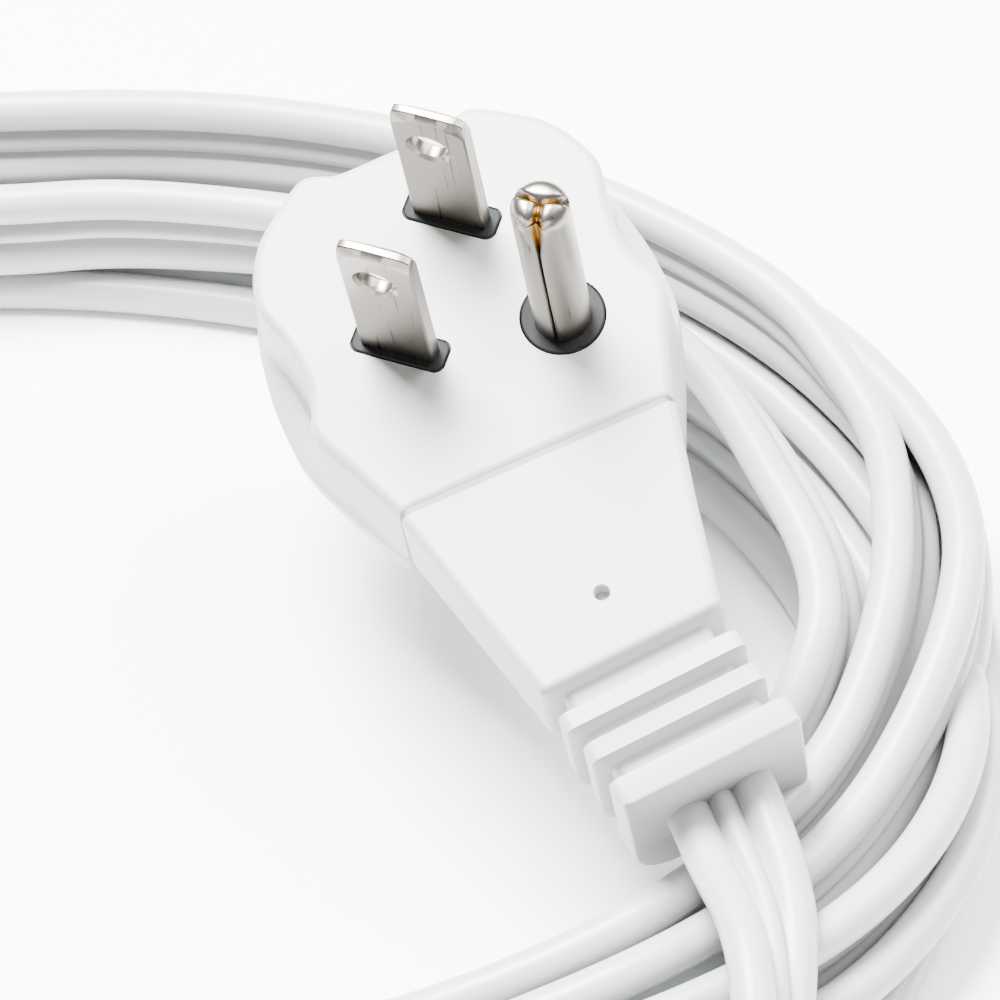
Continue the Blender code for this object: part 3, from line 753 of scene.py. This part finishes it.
    def evened(self, line: Line) -> Line:
        """The same line with a point every step.

        Args:
            line: (point, lean) pairs.

        Returns:
            Evenly spaced pairs.
        """
        travelled = [0.0]
        for (a, _), (b, _) in zip(line, line[1:]):
            travelled.append(travelled[-1] + (b - a).length)
        count = round(travelled[-1] / self.step)
        out, i = [], 0
        for k in range(count + 1):
            at = travelled[-1] * k / count
            while i < len(line) - 2 and travelled[i + 1] < at:
                i += 1
            span = travelled[i + 1] - travelled[i]
            t = (at - travelled[i]) / span if span else 0.0
            (a, lean_a), (b, lean_b) = line[i], line[i + 1]
            out.append((a.lerp(b, t), lean_a + (lean_b - lean_a) * t))
        return out

    def softened(self, line: Line) -> Line:
        """The same line with its small kinks evened out between neighbours.

        Args:
            line: (point, lean) pairs.

        Returns:
            As many pairs, with the same ends.
        """
        for _ in range(self.smoothings):
            inside = [
                ((a[0] + 2 * b[0] + c[0]) / 4, (a[1] + 2 * b[1] + c[1]) / 4)
                for a, b, c in zip(line, line[1:], line[2:])
            ]
            line = [line[0], *inside, line[-1]]
        return line

    @staticmethod
    def placed(outline: Sequence[Flat], route: Line, i: int) -> list[Vector]:
        """The section's outline at one point of the route, square to it and leant as it says.

        Args:
            outline: (thickness, width) points.
            route: The (point, lean) pairs.
            i: The point's number.

        Returns:
            The outline's points in the model's frame.
        """
        point, lean = route[i]
        ahead, behind = route[min(i + 1, len(route) - 1)][0], route[max(i - 1, 0)][0]
        along = (ahead - behind).normalized()
        outward = Vector((0.0, 0.0, 1.0)).cross(along).normalized()
        up = along.cross(outward).normalized()
        a = math.radians(lean)
        wide = up * math.cos(a) - outward * math.sin(a)
        thick = up * math.sin(a) + outward * math.cos(a)
        return [point + thick * t + wide * w for t, w in outline]

    def build(self, dresser: Dresser) -> None:
        """Args:
            dresser: The finishes.
        """
        route = self.route()
        outline, sides = self.section.outline()
        maker = MeshMaker()
        rings = [maker.ring(self.placed(outline, route, i)) for i in range(len(route))]
        maker.tube(rings, sides)
        # Slot 1, the middle core and web, takes the groove finish: painted shade in the recess between the
        # outer cores.
        piece = maker.build("flat_cord", (dresser.finish[Slot.CORD], dresser.groove_shade), 80.0)
        dresser.place(piece, Slot.CORD, "cord_coil", "cord_lead", "cord_tail")


# The plug.


@dataclass(frozen=True)
class PinLayout:
    """Where the pins stand on the plug's face, how the blades are turned, and the collars' sizes."""

    line: Flat = (-4.68, 2.49)
    neutral: Flat = (4.68, -6.09)
    ground: Flat = (8.04, 6.97)
    twist: float = math.radians(47.5)
    foot: float = -8.6
    collar: Flat = (8.0, 2.8)
    collar_round: float = 0.8
    corner_steps: int = 5
    ground_collar: float = 3.45

    def bar(self, at: Flat, long: float, wide: float, radius: float) -> list[Flat]:
        """A rounded bar on the face, turned as the blades are.

        Args:
            at: Its middle.
            long: Its length.
            wide: Its width.
            radius: Its corners' radius.

        Returns:
            The outline's points.
        """
        c, s = math.cos(self.twist), math.sin(self.twist)
        out = []
        for side_x, side_y, turn in ((1, 1, 0.0), (-1, 1, 0.5), (-1, -1, 1.0), (1, -1, 1.5)):
            for k in range(self.corner_steps + 1):
                a = math.pi * (turn + 0.5 * k / self.corner_steps)
                x = side_x * (long / 2 - radius) + radius * math.cos(a)
                y = side_y * (wide / 2 - radius) + radius * math.sin(a)
                out.append((at[0] + (x * c - y * s), at[1] + (x * s + y * c)))
        return out


PINS = PinLayout()


@dataclass
class PlugHead:
    """The plug's head: a face slab with scooped grips over a rounder back."""

    middle: float = 3.0
    seam: float = 18.6
    front_samples: int = 24
    samples: int = 168
    # The small rounding at the face pulls the seam's edge back by a share of each level's inset.
    deepest_pulled: float = 0.96
    pull_from: float = 0.3
    pull: float = 0.25
    collar_gap: float = 0.3
    collar_round: float = 0.9
    ground_opening: float = 3.6
    opening_levels: Flat = (-5.0, 2.0)
    sharp: float = 40.0
    # (along, half width) of the face, from the top to the seam.
    face: tuple[Flat, ...] = (
        (-12.7, 0.0), (-12.7, 4.6), (-13.3, 6.2), (-13.6, 7.6), (-12.7, 9.3), (-11.3, 11.1), (-9.8, 12.9),
        (-7.3, 14.5), (-4.5, 15.4), (-2.6, 15.2), (-0.2, 14.6), (3.5, 14.3), (6.0, 14.7), (7.6, 15.4),
        (9.0, 15.65), (10.6, 15.2), (13.4, 14.0), (18.6, 12.1),
    )
    # (along, half width) of the back, from the top to the seam.
    back: tuple[Flat, ...] = (
        (-14.6, 0.0), (-14.8, 4.0), (-14.5, 7.25), (-14.0, 9.9), (-11.9, 12.8), (-8.1, 15.1), (-5.0, 16.2),
        (-0.5, 17.0), (2.4, 17.2), (6.0, 17.1), (9.0, 16.4), (13.2, 14.9), (18.6, 12.5),
    )
    # (height, share of the back's outline, inset) of each level, from the face down.
    levels: tuple[Point, ...] = (
        (0.0, 0.0, 0.95), (-0.12, 0.0, 0.5), (-0.4, 0.0, 0.18), (-0.9, 0.0, 0.0), (-4.5, 0.0, -0.15),
        (-7.8, 0.0, -0.3), (-8.3, 0.12, -0.3), (-8.55, 0.55, -0.1), (-8.8, 0.9, 0.15), (-9.2, 1.0, 0.0),
        (-11.2, 1.0, 0.1), (-12.6, 1.0, 0.8), (-13.7, 1.0, 1.9), (-14.5, 1.0, 3.6), (-15.0, 1.0, 5.8),
        (-15.2, 1.0, 8.2),
    )

    def directions(self) -> list[float]:
        """The sampled directions, with one at each corner of the seam.

        Returns:
            Angles in radians, in rising order.
        """
        corner = math.atan2(self.face[-1][1], self.seam - self.middle)
        front = [-corner + 2 * corner * k / self.front_samples for k in range(self.front_samples)]
        rest = [corner + (2 * math.pi - 2 * corner) * k / self.samples for k in range(self.samples)]
        return front + rest

    def radii(self, half: Sequence[Flat]) -> list[float]:
        """The outline's distance from the head's middle in each sampled direction.

        Args:
            half: The half outline.

        Returns:
            One distance per direction.
        """
        soft = catmull([Vector((x, y, 0.0)) for x, y in half[:-1]], 5) + [Vector((*half[-1], 0.0))]
        loop = [(p.x - self.middle, p.y) for p in soft]
        loop += [(x, -y) for x, y in reversed(loop) if y > 1e-6]
        out = []
        for direction in self.directions():
            dx, dy = math.cos(direction), math.sin(direction)
            best = 0.0
            for (x1, y1), (x2, y2) in zip(loop, loop[1:] + loop[:1]):
                ex, ey = x2 - x1, y2 - y1
                det = dx * ey - dy * ex
                if abs(det) < 1e-12:
                    continue
                t = (x1 * ey - y1 * ex) / det
                s = (x1 * dy - y1 * dx) / det
                if t > 0 and -1e-9 <= s <= 1 + 1e-9:
                    best = max(best, t)
            out.append(best)
        return out

    def reach(self, inset: float) -> float:
        """How far towards the neck a level goes."""
        pulled = max(0.0, inset - self.pull_from) * self.pull
        return self.seam - pulled if inset < self.deepest_pulled else self.seam

    def rings(self) -> list[list[Vector]]:
        """The head's level outlines, from the face to the back.

        Returns:
            Each level's points in the plug's frame.
        """
        face, back = self.radii(self.face), self.radii(self.back)
        out = []
        for height, share, inset in self.levels:
            ring = []
            for direction, a, b in zip(self.directions(), face, back):
                radius = a * (1 - share) + b * share - inset
                x = self.middle + radius * math.cos(direction)
                ring.append(Vector((min(x, self.reach(inset)), radius * math.sin(direction), height)))
            out.append(ring)
        return out

    def openings(self) -> list[Piece]:
        """Cutters for the three collars.

        Returns:
            The cutters.
        """
        long, wide = (size + self.collar_gap for size in PINS.collar)
        outlines = [PINS.bar(at, long, wide, self.collar_round) for at in (PINS.line, PINS.neutral)]
        (x, y), r = PINS.ground, self.ground_opening
        outlines.append([(x + r * c, y + r * s) for c, s in unit_circle(48)])
        made = []
        for outline in outlines:
            levels = [[Vector((x, y, z)) for x, y in outline] for z in self.opening_levels]
            made.append(plug_loft("collar_opening", levels))
        return made

    def build(self, dresser: Dresser) -> None:
        """Builds the head and its openings.

        Args:
            dresser: The finishes.
        """
        piece = plug_loft("plug_head", self.rings(), (dresser.finish[Slot.PVC],), self.sharp)
        for cutter in self.openings():
            cut(piece, cutter)
        flatten_shading(piece, self.sharp)
        dresser.place(piece, Slot.PVC, "plug_head_body")


@dataclass
class PlugNeck:
    """The plug's tapered neck, its two ribs and its end flange."""

    hole_at: Flat = (32.0, -0.1)
    # (radius, height) of the pin hole, from its floor to above its softened rim.
    hole_profile: tuple[Flat, ...] = ((0.62, -1.4), (0.66, -0.12), (0.8, 0.02), (0.8, 1.0))
    face_corner: float = 0.8
    corner_steps: int = 6
    # Past fan_from the sections slant more and more, up to fan millimetres along per millimetre across.
    fan: float = 0.05
    fan_from: float = 19.5
    fan_over: float = 17.0
    sharp: float = 50.0
    # (along, half width, side shift, top, bottom, lower corner radius) of each section.
    sections: Rows = (
        (18.85, 12.0, 0.0, -0.12, -13.4, 5.0), (19.05, 12.1, 0.0, 0.0, -13.5, 5.0),
        (28.0, 10.05, 0.0, 0.0, -13.2, 5.0), (36.9, 8.15, 0.1, 0.0, -12.8, 4.8),
        (37.3, 8.0, 0.1, -0.15, -12.6, 4.8), (37.5, 7.6, 0.15, -0.6, -12.2, 4.6),
        (37.7, 6.5, 0.2, -1.8, -11.6, 3.4), (39.4, 6.4, 0.3, -2.0, -11.9, 3.2),
        (39.6, 7.5, 0.4, -0.5, -13.4, 4.0), (39.8, 7.9, 0.4, -0.1, -13.9, 4.2),
        (41.3, 7.9, 0.5, -0.1, -14.1, 4.2), (41.5, 7.55, 0.5, -0.5, -13.8, 4.0),
        (41.65, 6.5, 0.5, -1.9, -12.4, 3.0), (42.6, 6.4, 0.6, -2.0, -12.6, 3.0),
        (42.75, 7.2, 0.9, -0.6, -14.2, 3.8), (42.95, 7.65, 0.9, -0.2, -14.6, 4.0),
        (44.5, 7.65, 1.0, -0.3, -14.8, 4.0), (44.7, 7.3, 1.0, -0.7, -14.5, 3.8),
        (44.85, 6.4, 1.1, -2.1, -13.0, 2.8), (46.2, 6.4, 1.5, -2.2, -13.3, 2.8),
        (46.35, 7.4, 1.7, -1.0, -15.2, 3.4), (46.55, 7.85, 1.7, -0.6, -15.7, 3.6),
        (48.75, 7.85, 1.9, -0.6, -15.9, 3.6), (49.1, 7.5, 1.9, -0.95, -15.6, 3.4),
    )
    # The thin strip between the head and the neck, in the same form; its darker beige is painted shade in
    # the gap.
    seam_strip: Rows = (
        (18.3, 11.85, 0.0, -0.22, -12.8, 5.0), (19.2, 11.85, 0.0, -0.22, -12.8, 5.0),
    )

    def ring(self, row: Sequence[float]) -> list[Vector]:
        """A rounded section: small corners at the face, large ones at the back.

        Args:
            row: The section's row.

        Returns:
            Its points in the plug's frame.
        """
        along, half, side, top, bottom, low_corner = row
        corners = (
            (half, top, self.face_corner, 0.0),
            (-half, top, self.face_corner, 0.5),
            (-half, bottom, low_corner, 1.0),
            (half, bottom, low_corner, 1.5),
        )
        fan = self.fan * min(1.0, max(0.0, (along - self.fan_from) / self.fan_over))
        ring = []
        for y, z, r, turn in corners:
            cy, cz = y - math.copysign(r, y), z - r if z == top else z + r
            for k in range(self.corner_steps + 1):
                a = math.pi * (turn + 0.5 * k / self.corner_steps)
                across = side + cy + r * math.cos(a)
                ring.append(Vector((along - fan * across, across, cz + r * math.sin(a))))
        return ring

    def build(self, dresser: Dresser) -> None:
        """Builds the neck with its ribs, the pin hole and the seam strip, whose darker beige is painted
        shade in the gap.

        Args:
            dresser: The finishes.
        """
        rings = [self.ring(row) for row in self.sections]
        piece = plug_loft("plug_neck", rings, (dresser.finish[Slot.PVC],), self.sharp)
        x, y = self.hole_at
        circle = unit_circle(24)
        shaft = [[Vector((x + r * c, y + r * s, z)) for c, s in circle] for r, z in self.hole_profile]
        cut(piece, plug_loft("pin_hole", shaft))
        flatten_shading(piece, self.sharp)
        dresser.place(piece, Slot.PVC, "strain_relief_neck")
        strip = [self.ring(row) for row in self.seam_strip]
        # The seam strip's darker beige finish is painted shade in the gap between head and neck.
        dresser.place(plug_loft("seam_line", strip, (dresser.seam,)), Slot.PVC)


@dataclass
class Blades:
    """The two parallel blades, each with a bevelled tip and a hole with softened rims."""

    half_width: float = 3.175
    half_thick: float = 0.76
    edge: float = 0.14
    columns: int = 16
    bevel_foot: float = 16.25
    tip: float = 16.85
    half_tip: float = 0.36
    half_tip_at_edge: float = 0.30
    # How far the bevel's foot and the tip sink towards the blade's edges: gently, then in the corners.
    bevel_sink: Flat = (0.30, 0.75)
    tip_sink: Flat = (0.12, 0.32)
    edge_sink: float = 0.55
    hole_shift: float = 0.25
    hole_height: float = 12.2
    # (radius, place through the blade) of the hole.
    hole_profile: tuple[Flat, ...] = (
        (2.3, -1.2), (1.95, -0.76), (1.62, -0.48), (1.58, 0.0), (1.62, 0.48), (1.95, 0.76), (2.3, 1.2),
    )
    sharp: float = 25.0

    def column(self, w: float) -> list[Point]:
        """One column of a blade, from its foot over its tip and down again.

        Args:
            w: The column's place across the blade.

        Returns:
            (width, thickness, height) points.
        """
        at_edge = abs(w) >= self.half_width - 1e-6
        share = min(1.0, abs(w) / self.half_width)
        thick = self.half_thick - self.edge if at_edge else self.half_thick
        slim = self.half_tip_at_edge if at_edge else self.half_tip
        bevel = self.bevel_foot - self.bevel_sink[0] * share**2 - self.bevel_sink[1] * share**6
        corner = self.edge_sink if at_edge else self.tip_sink[1] * share**8
        tip = self.tip - self.tip_sink[0] * share**2 - corner
        side = (
            (thick, PINS.foot), (thick, bevel - 0.3), (thick - 0.03, bevel),
            (slim, tip - 0.06), (slim - 0.1, tip),
        )
        return [(w, -t, z) for t, z in side] + [(w, t, z) for t, z in reversed(side)]

    def columns_across(self) -> list[list[Point]]:
        """Every column of a blade.

        Returns:
            The columns, from one edge to the other.
        """
        h, e, count = self.half_width, self.edge, self.columns
        inner = [(-h + e) + 2 * (h - e) * k / count for k in range(1, count)]
        return [self.column(w) for w in (-h, -h + e, *inner, h - e, h)]

    @staticmethod
    def placed(at: Flat, points: Sequence[Point]) -> list[Vector]:
        """Turns a blade's (width, thickness, height) points into the plug's frame.

        Args:
            at: The blade's place on the face.
            points: The points.

        Returns:
            The points in the plug's frame.
        """
        c, s = math.cos(PINS.twist), math.sin(PINS.twist)
        return [Vector((at[0] + w * c - t * s, at[1] + w * s + t * c, z)) for w, t, z in points]

    def build(self, dresser: Dresser) -> None:
        """Builds both blades.

        Args:
            dresser: The finishes.
        """
        for node, at in (("line_blade", PINS.line), ("neutral_blade", PINS.neutral)):
            rings = [self.placed(at, column) for column in self.columns_across()]
            piece = plug_loft(f"{node}_plated", rings, (dresser.finish[Slot.NICKEL],), self.sharp)
            hole = []
            for r, t in self.hole_profile:
                rim = [(r * x - self.hole_shift, t, self.hole_height + r * z) for x, z in unit_circle(40)]
                hole.append(self.placed(at, rim))
            cut(piece, plug_loft("blade_hole", hole))
            flatten_shading(piece, self.sharp)
            dresser.place(piece, Slot.NICKEL, node)


@dataclass
class GroundPin:
    """The rolled ground pin, whose seam opens into a V near the top and whose tip is folded in three."""

    radius: float = 2.4
    top: float = 19.75
    tip_round: float = 1.35
    seam_turn: float = -0.62
    seam_half: float = 0.08
    opening_from: float = 14.7
    opening_over: float = 4.6
    opening_half: float = 0.78
    tip_from: float = 19.4
    tip_half: float = 0.4
    folds: tuple[float, ...] = (1.85, -1.85)
    fold_from: float = 18.6
    fold_over: float = 0.6
    fold_half: float = 0.22
    # A fold's depth as a share of the radius, and how much deeper it gets per millimetre above a height.
    depth: float = 0.2
    deeper: float = 0.02
    deeper_from: float = 9.0
    sink: float = 0.6
    sink_over: float = 0.9
    brass_from: float = 0.45
    near_seam: tuple[float, ...] = (0.0, 0.02, 0.045, 0.08, 0.13, 0.2, 0.3)

    @staticmethod
    def dent(azimuth: float, radius: float, half: float) -> float:
        """How deep a fold is at a place beside it, from 0 to 1.

        Args:
            azimuth: The direction from the pin's middle; 0 is the fold's own.
            radius: The distance from the pin's middle.
            half: The fold's half width.

        Returns:
            The depth's share.
        """
        facing = math.cos(azimuth) > 0
        return math.exp(-((math.sin(azimuth) * radius / half) ** 2)) if facing else 0.0

    def fold(self, azimuth: float, radius: float, height: float) -> float:
        """How deep the seam and the tip's folds are at a place, from 0 to 1.

        Args:
            azimuth: The direction from the pin's middle; 0 is the seam's.
            radius: The distance from the pin's middle.
            height: The height above the plug's face.

        Returns:
            The depth's share.
        """
        opened = min(1.0, max(0.0, (height - self.opening_from) / self.opening_over))
        half = self.seam_half + self.opening_half * opened**1.2 if height < self.tip_from else self.tip_half
        depth = self.dent(azimuth, radius, half)
        if height > self.fold_from:
            share = min(1.0, (height - self.fold_from) / self.fold_over)
            folds = [self.dent(azimuth - turn, radius, self.fold_half) * share for turn in self.folds]
            depth = max(depth, *folds)
        return depth

    def profile(self) -> list[Flat]:
        """The pin's outline.

        Returns:
            (radius, height) points from its foot to its tip.
        """
        r, top, bend = self.radius, self.top, self.tip_round
        points = [(r, PINS.foot), (r, 1.0), (r, 8.0), (r, 13.0), (r, 15.0)]
        points += [(r, 15.0 + 0.35 * k) for k in range(1, 10)]
        for k in range(1, 9):
            a = math.pi / 2 * k / 8
            points.append((r - bend * (1 - math.cos(a)), top - bend + bend * math.sin(a)))
        return points + [(0.78, top + 0.02), (0.5, top), (0.25, top - 0.04)]

    def build(self, dresser: Dresser) -> None:
        """Builds the pin, with brass where its plating stops in the folds.

        Args:
            dresser: The finishes.
        """
        mirrored = (-a for a in self.near_seam)
        azimuths = sorted({*self.near_seam, *mirrored, *(0.4 + 0.1175 * k for k in range(47))})
        profile, frame = self.profile(), plug_space()
        x0, y0 = PINS.ground
        maker, rings = MeshMaker(), []
        for radius, height in profile:
            ring = []
            for azimuth in azimuths:
                depth = self.fold(azimuth, radius, height)
                share = self.depth + self.deeper * max(0.0, height - self.deeper_from)
                r = radius * (1 - share * depth)
                z = height - (self.sink * depth if height > self.top - self.sink_over else 0.0)
                turn = azimuth + self.seam_turn
                ring.append(frame @ Vector((x0 + r * math.cos(turn), y0 + r * math.sin(turn), z)))
            rings.append(maker.ring(ring))
        middles = [(a + b) / 2 for a, b in zip(azimuths, [*azimuths[1:], azimuths[0] + 2 * math.pi])]
        for (radius, height), a, b in zip(profile, rings, rings[1:]):
            depths = [self.fold(azimuth, radius, height + 0.1) for azimuth in middles]
            maker.bridge(a, b, [int(depth > self.brass_from) for depth in depths])
        maker.face(rings[0][::-1])
        maker.face(rings[-1], 1)
        finishes = (dresser.finish[Slot.NICKEL], dresser.finish[Slot.BRASS])
        dresser.place(maker.build("rolled_ground_pin", finishes, 50.0), Slot.NICKEL, "ground_pin")


@dataclass
class PinCollars:
    """The charcoal collars round the pins, with a nick in the ground pin's."""

    step: float = 0.1
    nick: float = 0.28
    nick_half: float = 0.09
    top_share: float = 0.97
    bottom: float = -4.2
    top: float = 0.1

    def round_collar(self) -> list[Flat]:
        """The ground pin's collar, with its nick.

        Returns:
            The outline's points, from the collar's middle.
        """
        out, count = [], 64
        for k, (c, s) in enumerate(unit_circle(count)):
            away = 2 * math.pi * (k if 2 * k < count else k - count) / count
            radius = PINS.ground_collar - self.nick * math.exp(-((away / self.nick_half) ** 2))
            out.append((radius * c, radius * s))
        return out

    def outlines(self) -> list[tuple[list[Flat], list[Flat]]]:
        """Each collar's side outline and its smaller top outline.

        Returns:
            The pairs of outlines.
        """
        (long, wide), radius, step = PINS.collar, PINS.collar_round, self.step
        out = []
        for at in (PINS.line, PINS.neutral):
            side = PINS.bar(at, long, wide, radius)
            out.append((side, PINS.bar(at, long - 2 * step, wide - 2 * step, radius - step)))
        x0, y0 = PINS.ground
        circle = self.round_collar()
        small = [(x * self.top_share, y * self.top_share) for x, y in circle]
        out.append(([(x0 + x, y0 + y) for x, y in circle], [(x0 + x, y0 + y) for x, y in small]))
        return out

    def build(self, dresser: Dresser) -> None:
        """Builds the collars.

        Args:
            dresser: The finishes.
        """
        frame = plug_space()
        maker = MeshMaker()
        for side, small in self.outlines():
            levels = ((side, self.bottom), (side, 0.0), (small, self.top))
            maker.tube([maker.ring([frame @ Vector((x, y, z)) for x, y in shape]) for shape, z in levels])
        dresser.place(maker.build("pin_collars", (dresser.finish[Slot.NYLON],)), Slot.NYLON)


@dataclass
class NodeFinishes:
    """The finish of every CAD node that isn't redrawn."""

    table: tuple[tuple[Slot, tuple[str, ...]], ...] = (
        (Slot.PVC, ("connector_body", "connector_strain_relief", "outlet_face_insert")),
        (Slot.NYLON, ("pin_carrier",)),
        (Slot.BRASS, ("line_contact", "neutral_contact", "ground_contact")),
        (Slot.BLACK, ("plug_line_lead", "connector_line_lead")),
        (Slot.GREEN, ("plug_ground_lead", "connector_ground_lead")),
        (Slot.CORD, ("plug_neutral_lead", "connector_neutral_lead")),
        (
            Slot.COPPER,
            (
                "plug_line_copper", "plug_neutral_copper", "plug_ground_copper",
                "connector_line_copper", "connector_neutral_copper", "connector_ground_copper",
            ),
        ),
    )

    def build(self, dresser: Dresser) -> None:
        """Gives each node its finish.

        Args:
            dresser: The finishes.
        """
        for slot, names in self.table:
            for name in names:
                dresser.dress_node(name, slot)


@dataclass
class Studio:
    """The camera, the paper floor, the lights and the pale surround. Lights are in metres."""

    lens: float = 180.0
    sensor: float = 36.0
    elevation: float = 50.0
    eye: Vector = field(default_factory=lambda: COIL_MIDDLE + Vector((43.0, -261.0, 335.7)))
    half_floor: float = 4000.0
    surround: float = 0.75
    aim: Vector = field(default_factory=lambda: Vector((0.03, 0.0, 0.02)))
    # (name, place, side, watts) of each light.
    lights: tuple[tuple[str, Point, float, float], ...] = (
        ("key", (-0.25, 0.3, 0.9), 0.5, 100.0),
        ("fill", (0.5, 0.25, 0.8), 0.6, 24.0),
    )

    def camera(self) -> None:
        """Places the camera."""
        data = bpy.data.cameras.new("camera")
        data.lens = self.lens
        data.sensor_width = self.sensor
        data.clip_start = 0.01
        camera = bpy.data.objects.new("camera", data)
        camera.location = self.eye * MM
        camera.rotation_euler = (math.radians(90.0 - self.elevation), 0.0, 0.0)
        bpy.context.scene.collection.objects.link(camera)
        bpy.context.scene.camera = camera

    def light(self, name: str, at: Point, size: float, power: float) -> None:
        """Adds a square soft light that faces the coil.

        Args:
            name: Its name.
            at: Its place.
            size: Its side.
            power: Its power in watts.
        """
        data = bpy.data.lights.new(name, "AREA")
        data.shape = "SQUARE"
        data.size = size
        data.energy = power
        lamp = bpy.data.objects.new(name, data)
        lamp.location = at
        lamp.rotation_euler = (self.aim - Vector(at)).to_track_quat("-Z", "Y").to_euler()
        bpy.context.scene.collection.objects.link(lamp)

    def build(self) -> None:
        """Builds the floor, the lights and the surround."""
        far = self.half_floor
        floor = MeshMaker()
        edges = ((-far, -far), (far, -far), (far, far), (-far, far))
        floor.face(floor.ring([Vector((x, y, 0.0)) for x, y in edges]))
        floor.build("floor", (PAPER_FINISH.make(),))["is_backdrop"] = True
        world = bpy.data.worlds.new("surround")
        world.use_nodes = True
        world.node_tree.nodes["Background"].inputs["Color"].default_value = (1.0, 1.0, 1.0, 1.0)
        world.node_tree.nodes["Background"].inputs["Strength"].default_value = self.surround
        bpy.context.scene.world = world
        for row in self.lights:
            self.light(*row)


def corners(bounds: Sequence[Sequence[float]]) -> list[list[float]]:
    """A box as plain lists of numbers."""
    return [[float(value) for value in corner] for corner in bounds]


def main() -> None:
    """Builds the extension cord in order."""
    logging.basicConfig(level=logging.INFO, format="%(message)s")
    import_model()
    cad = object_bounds()
    studio = Studio()
    studio.camera()
    dresser = Dresser()
    for assembly in (CoiledCord, PlugHead, PlugNeck, Blades, GroundPin, PinCollars, NodeFinishes):
        assembly().build(dresser)
    studio.build()
    {"cad": corners(cad), "visual": corners(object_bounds())}


if __name__ == "__main__":
    main()
